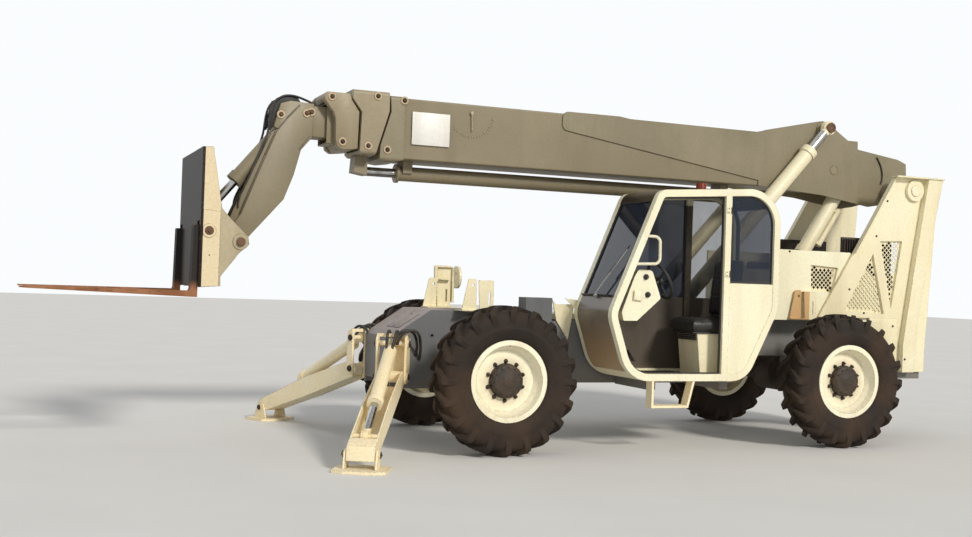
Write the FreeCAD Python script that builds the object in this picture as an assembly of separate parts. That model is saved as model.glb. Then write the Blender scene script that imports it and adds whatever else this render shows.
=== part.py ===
import FreeCAD, Part
import math
import os
from FreeCAD import Vector

# Telehandler: a four section telescopic boom on a rough terrain carrier, with a cab on the left,
# front stabilizers, four steered wheels and a pair of forks on a tilting carriage.
# Millimetres. X runs forwards, Y to the driver's left, Z up from the ground.
# The layout is set out from the front axle, and every piece is moved by ORIGIN_X as it is written,
# so that the origin lies on the ground under the middle of the whole machine.

# Fits and seats
RUN = 0.05            # radial clearance of a pin or shaft that turns in its bore
SEAT = 0.3            # gap between curved or sliding faces of neighbouring pieces
SIDE_PLAY = 3.0       # gap beside an eye in its clevis

# Wheels and axles
WHEELBASE = 3545.0
REAR_AXLE = -WHEELBASE
TRACK_HALF = 1060.0
TYRE_RADIUS = 640.0
TYRE_WIDTH = 330.0
CARCASS_RADIUS = 606.0
TYRE_SIDES = 22
LUGS_PER_SIDE = 20
LUG_WIDTH = 54.0
LUG_SWEEP = 76.0
LUG_HEIGHT = 96.0
LUG_START = 4.0       # gap from the tread's middle line
BEAD_RADIUS = 312.0
BEAD_HALF = 120.0
RIM_RADIUS = 350.0
RIM_FLANGE = 11.0
RIM_BARREL_INNER = 292.0
DISC_OUT = 34.0
DISC_THICK = 20.0
HUB_RADIUS = 142.0
HUB_OUT = 96.0
SPINDLE_RADIUS = 55.0
SPINDLE_IN_HUB = 60.0
KINGPIN_Y = TRACK_HALF - 220.0
KINGPIN_RADIUS = 26.0
KNUCKLE_HALF_HEIGHT = 100.0
KNUCKLE_RADIUS = 62.0
EAR_THICK = 45.0
AXLE_RADIUS = 92.0
DIFF_RADIUS = 185.0
DIFF_HALF = 150.0

# Chassis
RAIL_HALF = 400.0
RAIL_THICK = 40.0
FRAME_REAR = REAR_AXLE - 1405.0
FRAME_NOSE = 740.0
FRAME_LOW = 560.0
FRAME_ARCH = 830.0
FRAME_TOP = 1130.0
FRAME_REAR_TOP = 1200.0
NOSE_TOP = 1210.0
OUTRIGGER_XS = (-1480.0, -2250.0)
OUTRIGGER_REACH = 1000.0
OUTRIGGER_SIZE = 90.0
ENGINE_LOW = 1000.0

# Cab
CAB_INNER = 430.0
CAB_OUTER = 1160.0
CAB_TUBE = 65.0
CAB_WALL = 36.0
CAB_FLOOR = 641.0
CAB_ROOF_Z = 2250.0
GLASS = 6.0
SILL_Z = 1390.0
REAR_SILL_Z = 1540.0
PILLAR_REAR = -2182.0
PILLAR_FRONT = -2118.0

# Boom
PIVOT = (REAR_AXLE - 1215.0, 2575.0)
BOOM_HALF = 235.0
BOOM_TOP = 3100.0
BOOM_BOTTOM = 2550.0
BOOM_WALL = 12.0
SIDE_PLATE = 12.0
BOOM_REAR = PIVOT[0] + 410.0
BOOM_FRONT = 800.0
STAGE_TRAVEL = 3450.0
PAD_GAP = 0.5
HEAD_PLATE = 24.0
SECTION_BEND = 14.0   # bend radius of the sections' long edges
COLLAR_BEND = 36.0

# Tower
TOWER_IN = 610.0
TOWER_OUT = 635.0
STRIP_OUT = 700.0
COVER_OUT = 600.0
COVER_WALL = 25.0
COVER_TOP = 1900.0

# Pierced sheets behind the windows of the engine cover and the tower
SHEET = 3.0
HOLE_PITCH = 50.0
HOLE_HALF = 18.5
# each window as (distance behind the rear axle, z)
COVER_WINDOW = [(-32.0, 1757.0), (303.0, 1739.0), (238.0, 1484.0), (-22.0, 1507.0)]
TOWER_WINDOWS = [[(798.0, 2031.0), (1081.0, 2043.0), (961.0, 1342.0)],
                 [(638.0, 1765.0), (713.0, 1898.0), (871.0, 1285.0), (371.0, 1314.0)]]

# Cylinder pins, as (x, z)
LIFT_TOP = (PIVOT[0] + 880.0, 3190.0)
LIFT_FOOT = (REAR_AXLE + 1445.0, 1240.0)
LIFT_Y = 338.0
LIFT_BARREL = 75.0
LIFT_ROD = 48.0
COMP_TOP = (PIVOT[0] + 510.0, 2640.0)
COMP_FOOT = (REAR_AXLE + 312.0, 1080.0)
COMP_Y = 120.0
COMP_BARREL = 74.0
COMP_ROD = 36.0
TILT_TOP = (1700.0, 2830.0)
TILT_FOOT = (2380.0, 2000.0)
TILT_BARREL = 68.0
TILT_ROD = 36.0
TILT_DRAW_IN = 90.0
CARRIAGE_PIN = (2190.0, 1735.0)
EXT_Z = 2440.0
EXT_BARREL = 68.0
EXT_ROD = 42.0

# Carriage and forks
CARRIAGE_HALF = 600.0
END_PLATE = 25.0
LUG_IN = 165.0
LUG_PLATE = 32.0
FACE_X = 2500.0
FACE_THICK = 20.0
FORK_SHAFT = (2450.0, 1815.0)
FORK_SHAFT_RADIUS = 34.0
FORK_Y = 500.0
FORK_WIDTH = 130.0
FORK_TOP = 1322.0
FORK_THICK = 50.0
FORK_TIP = 3870.0

# Stabilizers, drawn with S outwards from the hinge and H up, then splayed forwards
SPLAY = 26.6
HINGE_XY = (815.0, 470.0)
HINGE_Z = 620.0
HEAD_Z = 910.0
FOOT_PIN = (1330.0, 130.0)
ROD_PIN = (1215.0, 250.0)
LEG_HALF = 112.0
LEG_PLATE = 16.0
STAB_BARREL = 56.0
STAB_ROD = 32.0
STAB_PIN = 22.0
STAB_DRAW_IN = 360.0
PAD_LENGTH = 420.0
PAD_WIDTH = 330.0
PAD_THICK = 25.0

FRONT_REACH = FORK_TIP
REAR_REACH = REAR_AXLE - 1555.0
ORIGIN_X = -(FRONT_REACH + REAR_REACH) / 2


def block(x0, x1, y0, y1, z0, z1):
    return Part.makeBox(x1 - x0, y1 - y0, z1 - z0, Vector(x0, y0, z0))


def plate(outline, y0, y1):
    """A plate drawn in the side view as (x, z) points and standing from y0 to y1."""
    corners = [Vector(x, y0, z) for x, z in outline]
    face = Part.Face(Part.makePolygon(corners + corners[:1]))
    return face.extrude(Vector(0, y1 - y0, 0))


def rounded_wire(corners, y):
    """A closed side view outline whose corners (x, z, radius) are rounded by tangent arcs."""
    starts = []
    ends = []
    middles = []
    count = len(corners)
    for i, (x, z, radius) in enumerate(corners):
        here = Vector(x, y, z)
        before = Vector(corners[i - 1][0], y, corners[i - 1][1])
        after = Vector(corners[(i + 1) % count][0], y, corners[(i + 1) % count][1])
        to_before = (before - here).normalize()
        to_after = (after - here).normalize()
        half = to_before.getAngle(to_after) / 2
        reach = radius / math.tan(half)
        starts.append(here + to_before * reach)
        ends.append(here + to_after * reach)
        bisector = (to_before + to_after).normalize()
        middles.append(here + bisector * (radius / math.sin(half) - radius))
    edges = []
    for i in range(count):
        edges.append(Part.Arc(starts[i], middles[i], ends[i]).toShape())
        edges.append(Part.LineSegment(ends[i], starts[(i + 1) % count]).toShape())
    return Part.Wire(Part.__sortEdges__(edges))


def rounded_plate(corners, y0, y1):
    return Part.Face(rounded_wire(corners, y0)).extrude(Vector(0, y1 - y0, 0))


def cross_rod(point, radius, y0, y1):
    """A round bar along Y through the side view point (x, z)."""
    return Part.makeCylinder(radius, y1 - y0, Vector(point[0], y0, point[1]), Vector(0, 1, 0))


def behind(outline):
    """Side view points (x, z) from points given as (distance behind the rear axle, z)."""
    return [(REAR_AXLE - distance, z) for distance, z in outline]


def long_bar(x0, x1, half, bottom, top, bend):
    """A box that runs along X, its four long edges rounded to the bend radius."""
    box = block(x0, x1, -half, half, bottom, top)
    edges = [edge for edge in box.Edges if abs(edge.tangentAt(edge.FirstParameter).x) > 0.9]
    return box.makeFillet(bend, edges)


def hoop(corners, half, y):
    """A closed eight sided rod of the given half thickness, bent along rounded corners in the side view."""
    middle = rounded_wire(corners, y - half)
    ring = Part.Face(middle.makeOffset2D(half)).cut(Part.Face(middle.makeOffset2D(-half)))
    ring = ring.extrude(Vector(0, 2 * half, 0))
    edges = [edge for edge in ring.Edges if abs(edge.tangentAt(edge.FirstParameter).y) < 0.5]
    return ring.makeChamfer(half * 0.58, edges)


def bar(start, end, radius):
    run = end - start
    return Part.makeCylinder(radius, run.Length, start, run)


def side_bar(start, end, radius, y):
    """A round bar in the side view from one (x, z) point to another, at height y across."""
    return bar(Vector(start[0], y, start[1]), Vector(end[0], y, end[1]), radius)


def along(start, end, distance):
    """The side view point that lies the given distance from start towards end."""
    length = math.hypot(end[0] - start[0], end[1] - start[1])
    share = distance / length
    return (start[0] + (end[0] - start[0]) * share, start[1] + (end[1] - start[1]) * share)


def span(start, end):
    return math.hypot(end[0] - start[0], end[1] - start[1])


def join(pieces):
    whole = pieces[0]
    if len(pieces) > 1:
        whole = whole.fuse(pieces[1:])
    return whole.removeSplitter()


def mirrored(shape):
    return shape.mirror(Vector(0, 0, 0), Vector(0, 1, 0))


def both_sides(shape):
    return [shape, mirrored(shape)]


def save(name, shape):
    placed = shape.copy()
    placed.translate(Vector(ORIGIN_X, 0, 0))
    placed.exportStep("parts/" + name + ".step")


# Tyres: a faceted carcass with swept chevron lugs that run out over the shoulders

def tyre_carcass():
    corner = math.cos(math.pi / TYRE_SIDES)
    half = TYRE_WIDTH / 2
    # across from the middle, radius from the axle
    outer = [(BEAD_HALF, BEAD_RADIUS / corner), (BEAD_HALF, RIM_RADIUS + 6), (half - 8, 500),
             (half - 34, 584), (0, CARCASS_RADIUS)]
    profile = outer + [(-y, r) for y, r in reversed(outer[:-1])]
    rings = []
    for step in range(TYRE_SIDES):
        angle = 2 * math.pi * step / TYRE_SIDES
        rings.append([Vector(r * math.cos(angle), y, r * math.sin(angle)) for y, r in profile])
    faces = []
    for step in range(TYRE_SIDES):
        ring = rings[step]
        following = rings[(step + 1) % TYRE_SIDES]
        for i in range(len(profile)):
            j = (i + 1) % len(profile)
            quad = [ring[i], ring[j], following[j], following[i], ring[i]]
            faces.append(Part.Face(Part.makePolygon(quad)))
    return Part.Solid(Part.Shell(faces))


def tyre():
    """One tyre on the Y axis about the origin, with a lug's tip at its lowest point."""
    half = TYRE_WIDTH / 2
    reach = LUG_SWEEP / 2 + LUG_WIDTH / 2
    top = math.sqrt(TYRE_RADIUS ** 2 - reach ** 2)
    # across, along the tread
    outline = [(LUG_START, -reach), (half, reach - LUG_WIDTH), (half, reach), (LUG_START, LUG_WIDTH - reach)]
    corners = [Vector(around, across, top) for across, around in outline]
    face = Part.Face(Part.makePolygon(corners + corners[:1]))
    lug = face.extrude(Vector(0, 0, -LUG_HEIGHT))
    pitch = 360.0 / LUGS_PER_SIDE
    tip_angle = math.degrees(math.atan2(reach, top))
    lugs = []
    for side in (1, -1):
        for count in range(LUGS_PER_SIDE):
            copy = lug.copy() if side > 0 else mirrored(lug)
            turn = 180.0 - tip_angle + pitch * (count + (0.0 if side > 0 else 0.5))
            copy.rotate(Vector(0, 0, 0), Vector(0, 1, 0), turn)
            lugs.append(copy)
    return tyre_carcass().fuse(lugs)


def rim():
    """A one piece steel wheel with its planet hub, outboard towards +Y."""
    seat = BEAD_RADIUS - SEAT
    flange_in = BEAD_HALF + SEAT
    flange_out = flange_in + RIM_FLANGE
    bore = SPINDLE_RADIUS + RUN
    hub_back = DISC_OUT - DISC_THICK - 40
    # along the axle, radius
    profile = [(-flange_out, RIM_BARREL_INNER + 14), (-flange_out, RIM_RADIUS), (-flange_in, RIM_RADIUS),
               (-flange_in, seat), (flange_in, seat), (flange_in, RIM_RADIUS), (flange_out, RIM_RADIUS),
               (flange_out, RIM_BARREL_INNER + 14), (DISC_OUT + 40, RIM_BARREL_INNER),
               (DISC_OUT, RIM_BARREL_INNER - 30), (DISC_OUT, HUB_RADIUS), (HUB_OUT - 14, HUB_RADIUS),
               (HUB_OUT, HUB_RADIUS - 26), (HUB_OUT, 0), (SPINDLE_IN_HUB, 0), (SPINDLE_IN_HUB, bore),
               (hub_back, bore), (hub_back, HUB_RADIUS - 10), (DISC_OUT - DISC_THICK, HUB_RADIUS - 10),
               (DISC_OUT - DISC_THICK, RIM_BARREL_INNER - 34), (DISC_OUT - 4, RIM_BARREL_INNER)]
    corners = [Vector(r, y, 0) for y, r in profile]
    face = Part.Face(Part.makePolygon(corners + corners[:1]))
    return face.revolve(Vector(0, 0, 0), Vector(0, 1, 0), 360)


def knuckle():
    """A steering knuckle for the left side, about its kingpin's foot on the axle line."""
    body = Part.makeCylinder(KNUCKLE_RADIUS, 2 * KNUCKLE_HALF_HEIGHT, Vector(0, 0, -KNUCKLE_HALF_HEIGHT))
    pin_half = KNUCKLE_HALF_HEIGHT + EAR_THICK + 12
    pin = Part.makeCylinder(KINGPIN_RADIUS, 2 * pin_half, Vector(0, 0, -pin_half))
    out = TRACK_HALF - KINGPIN_Y
    reach = out + SPINDLE_IN_HUB - 4
    spindle = Part.makeCylinder(SPINDLE_RADIUS, reach, Vector(0, 0, 0), Vector(0, 1, 0))
    flange_y = KNUCKLE_RADIUS + 20
    flange = Part.makeCylinder(118, 26, Vector(0, flange_y, 0), Vector(0, 1, 0))
    arm = block(-190, -30, -20, 20, -70, -40)
    return join([body, pin, spindle, flange, arm])


def axle():
    """A drive axle with a yoke at each end, about the middle of the axle."""
    inner = KINGPIN_Y - KNUCKLE_RADIUS - 50
    ear_end = KNUCKLE_HALF_HEIGHT + EAR_THICK
    web = block(-60, 60, inner, inner + 30, -ear_end, ear_end)
    pieces = [Part.makeCylinder(AXLE_RADIUS, 2 * inner + 20, Vector(0, -inner - 10, 0), Vector(0, 1, 0)),
              Part.makeCylinder(DIFF_RADIUS, 2 * DIFF_HALF, Vector(0, -DIFF_HALF, 0), Vector(0, 1, 0))]
    for low in (KNUCKLE_HALF_HEIGHT + SEAT, -KNUCKLE_HALF_HEIGHT - SEAT - EAR_THICK):
        ear = block(-60, 60, inner, KINGPIN_Y, low, low + EAR_THICK)
        ear = ear.fuse(Part.makeCylinder(60, EAR_THICK, Vector(0, KINGPIN_Y, low)))
        pieces += both_sides(ear)
    pieces += both_sides(web)
    whole = join(pieces)
    hole = Part.makeCylinder(KINGPIN_RADIUS + RUN, 800, Vector(0, KINGPIN_Y, -400))
    return whole.cut(both_sides(hole))


def build_wheels():
    tread = tyre()
    wheel = rim()
    turning = knuckle()
    beam = axle()
    for end, axle_x in (("front", 0.0), ("rear", -WHEELBASE)):
        centre = Vector(axle_x, 0, TYRE_RADIUS)
        placed = beam.copy()
        placed.translate(centre)
        save(end + "_axle", placed)
        for side, sign in (("left", 1), ("right", -1)):
            for name, shape, across in (("tyre", tread, TRACK_HALF), ("rim", wheel, TRACK_HALF),
                                        ("knuckle", turning, KINGPIN_Y)):
                piece = shape.copy()
                piece.translate(Vector(axle_x, across, TYRE_RADIUS))
                if sign < 0:
                    piece = mirrored(piece)
                save(name + "_" + end + "_" + side, piece)


# Chassis: two plate rails, cross members, a nose box and outriggers that carry cab and tanks

def rail_outline():
    front_clear = DIFF_RADIUS + 60
    return [(FRAME_REAR, FRAME_ARCH), (REAR_AXLE + front_clear + 380, FRAME_ARCH),
            (REAR_AXLE + front_clear + 560, FRAME_LOW), (-front_clear - 560, FRAME_LOW),
            (-front_clear - 380, FRAME_ARCH), (front_clear + 90, FRAME_ARCH),
            (front_clear + 200, FRAME_LOW - 50), (FRAME_NOSE + 60, FRAME_LOW - 50), (FRAME_NOSE + 60, 960),
            (FRAME_NOSE, 1010), (440, NOSE_TOP), (-160, NOSE_TOP), (-240, FRAME_TOP),
            (REAR_AXLE + 945, FRAME_TOP), (REAR_AXLE + 545, FRAME_REAR_TOP), (FRAME_REAR, FRAME_REAR_TOP)]


def chassis():
    inner = RAIL_HALF - RAIL_THICK
    rail = plate(rail_outline(), inner, RAIL_HALF)
    pieces = both_sides(rail)
    nose_lid = plate([(60, NOSE_TOP - 16), (100, NOSE_TOP), (440, NOSE_TOP), (FRAME_NOSE, 1010),
                      (FRAME_NOSE + 60, 960), (FRAME_NOSE + 60, FRAME_LOW), (FRAME_NOSE + 44, FRAME_LOW),
                      (FRAME_NOSE + 44, 955), (FRAME_NOSE - 10, 995), (434, NOSE_TOP - 16)], -inner, inner)
    pieces.append(nose_lid)
    # x, from z, to z of each cross member
    for x, low, high in ((430.0, 840.0, 940.0), (-560.0, 860.0, 960.0), (OUTRIGGER_XS[0], 600.0, 700.0),
                         (OUTRIGGER_XS[1], 600.0, 700.0), (REAR_AXLE + 645, 860.0, 960.0),
                         (REAR_AXLE - 155, 930.0, ENGINE_LOW), (REAR_AXLE - 805, 930.0, ENGINE_LOW),
                         (FRAME_REAR + 60, 900.0, 1180.0)):
        pieces.append(block(x - 45, x + 45, -inner, inner, low, high))
    low = CAB_FLOOR - OUTRIGGER_SIZE
    for x in OUTRIGGER_XS:
        half = OUTRIGGER_SIZE / 2
        arm = block(x - half, x + half, RAIL_HALF, OUTRIGGER_REACH, low, CAB_FLOOR)
        pieces += both_sides(arm)
    # the axle seats, bolted up to both axle housings
    for axle_x in (0.0, REAR_AXLE):
        seat = block(axle_x - 80, axle_x + 80, 200, inner, TYRE_RADIUS, FRAME_ARCH + 60)
        seat = seat.cut(Part.makeCylinder(AXLE_RADIUS + SEAT, 2 * inner,
                                          Vector(axle_x, -inner, TYRE_RADIUS), Vector(0, 1, 0)))
        pieces += both_sides(seat)
    # carriers of the tower plates
    for x in (REAR_AXLE - 1335, REAR_AXLE - 1145):
        carrier = block(x - 20, x + 20, RAIL_HALF, TOWER_IN, FRAME_ARCH + 20, 1180)
        pieces += both_sides(carrier)
    # feet of the lift cylinders
    for low_y in (LIFT_Y - 62, LIFT_Y + 37):
        ear = rounded_plate([(LIFT_FOOT[0] - 110, 1060, 10), (LIFT_FOOT[0] + 110, 1060, 10),
                             (LIFT_FOOT[0] + 70, LIFT_FOOT[1] + 75, 55),
                             (LIFT_FOOT[0] - 70, LIFT_FOOT[1] + 75, 55)], low_y, low_y + 25)
        pieces += both_sides(ear)
    bed = block(LIFT_FOOT[0] - 130, LIFT_FOOT[0] + 130, -inner, inner, 1040, 1070)
    pieces.append(bed)
    pieces.append(cross_rod(LIFT_FOOT, 34, -LIFT_Y - 64, LIFT_Y + 64))
    for low_y in (COMP_Y - 64, COMP_Y + 40):
        ear = rounded_plate([(COMP_FOOT[0] - 90, 955, 10), (COMP_FOOT[0] + 90, 955, 10),
                             (COMP_FOOT[0] + 60, COMP_FOOT[1] + 60, 50),
                             (COMP_FOOT[0] - 60, COMP_FOOT[1] + 60, 50)], low_y, low_y + 24)
        pieces.append(ear)
    pieces.append(block(COMP_FOOT[0] - 120, COMP_FOOT[0] + 120, -inner, inner, 935, 960))
    # the valve chest on the left rail, ahead of the cab
    pieces.append(block(-742, -474, inner - 110, CAB_INNER - 12, FRAME_TOP - 20, 1347))
    return join(pieces)


def fender_bracket(x, foot_z, foot_in, foot_out):
    """One wheel's fender bracket: a foot, an upright plate and a bent plate with a folded top."""
    foot = block(x - 95, x + 205, foot_in, foot_out, foot_z, foot_z + 10)
    upright = rounded_plate([(x + 60, foot_z + 2, 3), (x + 202, foot_z + 2, 3), (x + 142, foot_z + 290, 24),
                             (x + 66, foot_z + 290, 24)], foot_out - 40, foot_out - 30)
    upright = upright.cut(cross_rod((x + 96, foot_z + 232), 13, 0, 900))
    bent = rounded_plate([(x - 92, foot_z + 2, 3), (x + 40, foot_z + 2, 3), (x + 58, foot_z + 278, 14),
                          (x - 90, foot_z + 278, 14)], foot_out - 10, foot_out)
    slot = block(x - 58, x - 42, foot_out - 20, foot_out + 10, foot_z + 55, foot_z + 180)
    fold = block(x - 72, x + 36, foot_out - 60, foot_out, foot_z + 270, foot_z + 278)
    return join([foot, upright, bent.cut(slot), fold])


def build_fender_brackets():
    front = fender_bracket(0.0, NOSE_TOP, RAIL_HALF - 38, 560)
    right_front = mirrored(front)
    # the right front one also carries the mirror on its tall plate
    tall = rounded_plate([(-138, 1260, 5), (60, 1260, 5), (74, 1622, 20), (-120, 1622, 40)], -596, -560)
    arm = side_bar((-165, 1551), (50, 1543), 10, -601)
    glass = Part.makeCylinder(110, 26, Vector(-186, -601, 1511), Vector(1, 0, 0))
    tall = tall.cut(block(-112, 46, -590, -550, 1272, 1604))
    right_front = join([right_front, tall, arm, glass])
    rear = fender_bracket(REAR_AXLE + 95, FRAME_REAR_TOP + 10, COVER_OUT, COVER_OUT + 60)
    shield = plate([(-749, 1326), (-786, 1290), (-964, 1294), (-966, 1241), (-916, 961), (-791, 1141)],
                   RAIL_HALF, RAIL_HALF + 12)
    save("fender_brackets", Part.makeCompound([front, right_front] + both_sides(rear) + [shield]))


# Cab: two side frames of bent tube, panels between them, glass, floor and seat

CAB_OUTLINE = [(-1420.0, 2352.0, 110.0), (-952.0, 1230.0, 210.0), (-1150.0, 641.0, 300.0),
               (-2390.0, 641.0, 260.0), (-2722.0, 1300.0, 260.0), (-2722.0, 2440.0, 330.0)]


def cab_ring(inset_out, inset_in, y0, y1):
    """The band of the cab's outline between two insets, standing from y0 to y1."""
    outer = Part.Face(rounded_wire(CAB_OUTLINE, y0))
    if inset_out > 0:
        outer = Part.Face(rounded_wire(CAB_OUTLINE, y0).makeOffset2D(-inset_out))
    inner = Part.Face(rounded_wire(CAB_OUTLINE, y0).makeOffset2D(-inset_in))
    return outer.cut(inner).extrude(Vector(0, y1 - y0, 0))


def cab_fill(inset, y0, y1):
    return Part.Face(rounded_wire(CAB_OUTLINE, y0).makeOffset2D(-inset)).extrude(Vector(0, y1 - y0, 0))


def rim_ring(centre, axis, radius, half):
    """A steering wheel's rim: a six sided section carried round in sixteen flats."""
    section = [Vector(radius + half * math.cos(math.radians(a)), 0, half * math.sin(math.radians(a)))
               for a in range(0, 360, 60)]
    flats = 16
    rings = []
    for step in range(flats):
        turn = FreeCAD.Rotation(Vector(0, 0, 1), 360.0 * step / flats)
        rings.append([turn.multVec(point) for point in section])
    faces = []
    for step in range(flats):
        ring = rings[step]
        following = rings[(step + 1) % flats]
        for i in range(6):
            j = (i + 1) % 6
            corners = [ring[i], ring[j], following[j], following[i], ring[i]]
            faces.append(Part.Face(Part.makePolygon(corners)))
    solid = Part.Solid(Part.Shell(faces))
    solid.Placement = FreeCAD.Placement(centre, FreeCAD.Rotation(Vector(0, 0, 1), axis))
    return solid


def build_cab():
    outer_y = CAB_OUTER - CAB_TUBE
    inner_y = CAB_INNER + CAB_TUBE
    frames = []
    for y0 in (CAB_INNER, outer_y):
        ring = cab_ring(0, CAB_TUBE, y0, y0 + CAB_TUBE)
        pillar = block(PILLAR_REAR, PILLAR_FRONT, y0, y0 + CAB_TUBE, CAB_FLOOR + 10, 2370)
        pillar = pillar.common(cab_fill(10, y0, y0 + CAB_TUBE))
        frames.append(join([ring, pillar]))
    header = block(-1500, -1460, inner_y, outer_y, 2262, 2320)
    sill = block(-2690, -2650, inner_y, outer_y, REAR_SILL_Z - 40, REAR_SILL_Z)
    grab = hoop([(-1281, 1936, 20), (-1174, 1679, 20), (-1456, 1690, 55), (-1452, 1930, 55)], 13,
                outer_y + CAB_TUBE / 2)
    save("cab_frame", join(frames + [header, sill, grab]))

    band = cab_ring(0, CAB_WALL, inner_y, outer_y)
    front = block(-1600, -800, inner_y, outer_y, 720, SILL_Z)
    save("cab_nose_panel", band.common(front))
    save("cab_floor", band.common(block(-2800, -800, inner_y, outer_y, 600, 720)))
    rear = block(-2800, -2300, inner_y, outer_y, 720, REAR_SILL_Z - 40)
    save("cab_rear_panel", band.common(rear))
    roof = band.common(block(-2800, -800, inner_y, outer_y, CAB_ROOF_Z, 2500)).cut(header)
    save("cab_roof", roof)

    glass_band = cab_ring(16, 16 + GLASS, inner_y + SEAT, outer_y - SEAT)
    panes = [glass_band.common(block(-1600, -800, 0, 2000, SILL_Z + SEAT, CAB_ROOF_Z - SEAT)).cut(header),
             glass_band.common(block(-2800, -2500, 0, 2000, REAR_SILL_Z + SEAT, CAB_ROOF_Z - SEAT))]
    middle = outer_y + CAB_TUBE / 2
    quarter = cab_fill(CAB_TUBE + SEAT, middle, middle + GLASS)
    panes.append(quarter.common(block(-2800, PILLAR_REAR - SEAT, 0, 2000, REAR_SILL_Z + SEAT, 2500)))
    middle = CAB_INNER + CAB_TUBE / 2
    side = cab_fill(CAB_TUBE + SEAT, middle, middle + GLASS)
    panes.append(side.common(block(-2800, PILLAR_REAR - SEAT, 0, 2000, SILL_Z + SEAT, 2500)))
    panes.append(side.common(block(PILLAR_FRONT + SEAT, -800, 0, 2000, SILL_Z + SEAT, 2500)))
    save("cab_glass", Part.makeCompound(panes))

    thick = 30.0
    quarter_y = CAB_OUTER - thick - 4
    panel = cab_fill(CAB_TUBE + SEAT, quarter_y, quarter_y + thick)
    save("cab_quarter_panel", panel.common(block(-2800, PILLAR_REAR - SEAT, 0, 2000, 600, REAR_SILL_Z)))
    inner = cab_fill(CAB_TUBE + SEAT, CAB_INNER + 8, CAB_INNER + 8 + thick)
    halves = [inner.common(block(-2800, PILLAR_REAR - SEAT, 0, 2000, 600, SILL_Z)),
              inner.common(block(PILLAR_FRONT + SEAT, -800, 0, 2000, 600, SILL_Z))]
    save("cab_inner_panels", Part.makeCompound(halves))

    deck = CAB_FLOOR + CAB_WALL
    base_top = deck + 398
    save("seat_base", plate([(-2225, deck), (-1995, deck), (-1950, base_top), (-2280, base_top),
                             (-2280, deck + 60)], 660, 1000))
    cushion = block(-2300, -1860, 590, 1070, base_top + SEAT, base_top + 140)
    back = plate([(-2330, base_top + SEAT), (-2282, base_top + SEAT), (-2282, base_top + 140),
                  (-2280, base_top + 150), (-2355, base_top + 710), (-2435, base_top + 710),
                  (-2400, base_top + 150)], 600, 1060)
    save("seat", join([cushion, back]))
    # the dash is a pod across the cab, held to the nose panel by a shelf
    pod = rounded_plate([(-1280, 1633, 30), (-1421, 1631, 45), (-1518, 1379, 30), (-1281, 1173, 20),
                         (-1141, 1171, 20), (-1123, 1252, 15), (-1236, 1556, 40)], 640, outer_y - 35)
    shelf = block(-1180, -900, 720, 980, 1185, 1240).common(cab_fill(CAB_WALL + SEAT, inner_y, outer_y))
    dash = join([pod, shelf])
    save("dash", dash)
    foot = Vector(-1420, 830, 1430)
    top = Vector(-1640, 830, 1540)
    wheel_axis = (top - foot).normalize()
    ring = rim_ring(top, wheel_axis, 175, 14)
    spoke = Part.makeCylinder(10, 336, top - Vector(0, 168, 0), Vector(0, 1, 0))
    hub = Part.makeCylinder(40, 30, top - wheel_axis * 10, wheel_axis)
    wheel = join([bar(foot, top, 30), ring, hub, spoke])
    save("steering_wheel", wheel.cut(dash))
    hanger = plate([(-1842, CAB_FLOOR), (-1817, CAB_FLOOR), (-1757, 410), (-1782, 410)], 1060, 1160)
    front_hanger = block(-1420, -1395, 1060, 1160, 410, CAB_FLOOR)
    tread = block(-1782, -1395, 1060, 1160, 400, 425)
    save("cab_step", join([hanger, front_hanger, tread]))
    beacon = Part.makeCylinder(48, 95, Vector(-2070, 800, 2380))
    foot_plate = Part.makeCylinder(60, 20, Vector(-2070, 800, 2368))
    save("beacon", join([beacon, foot_plate]).cut(roof))


# Right side tank, engine, cover and tower, with pierced sheets behind their windows

def pierced_sheet(window, y):
    """A sheet behind a window, up to the plane y, with staggered rows of diamond holes."""
    corners = [Vector(x, y - SHEET, z) for x, z in window]
    opening = Part.makePolygon(corners + corners[:1])
    field = Part.Face(opening)
    bounds = opening.BoundBox
    holes = []
    for row in range(int(bounds.ZLength / HOLE_PITCH * 2)):
        z = bounds.ZMin + HOLE_PITCH / 2 * (row + 1)
        for column in range(int(bounds.XLength / HOLE_PITCH) + 1):
            x = bounds.XMin + HOLE_PITCH * (column + row % 2 / 2)
            tips = [Vector(x + dx, y - SHEET, z + dz)
                    for dx, dz in ((HOLE_HALF, 0), (0, HOLE_HALF), (-HOLE_HALF, 0), (0, -HOLE_HALF))]
            if all(field.isInside(tip, 0.1, False) for tip in tips):
                holes.append(Part.makePolygon(tips + tips[:1]))
    face = Part.Face([opening.makeOffset2D(14, 2)] + holes)
    return face.extrude(Vector(0, SHEET, 0))


def with_windows(wall, windows, y0, y1):
    return wall.cut([plate(behind(window), y0 - 5, y1 + 5) for window in windows])


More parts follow.
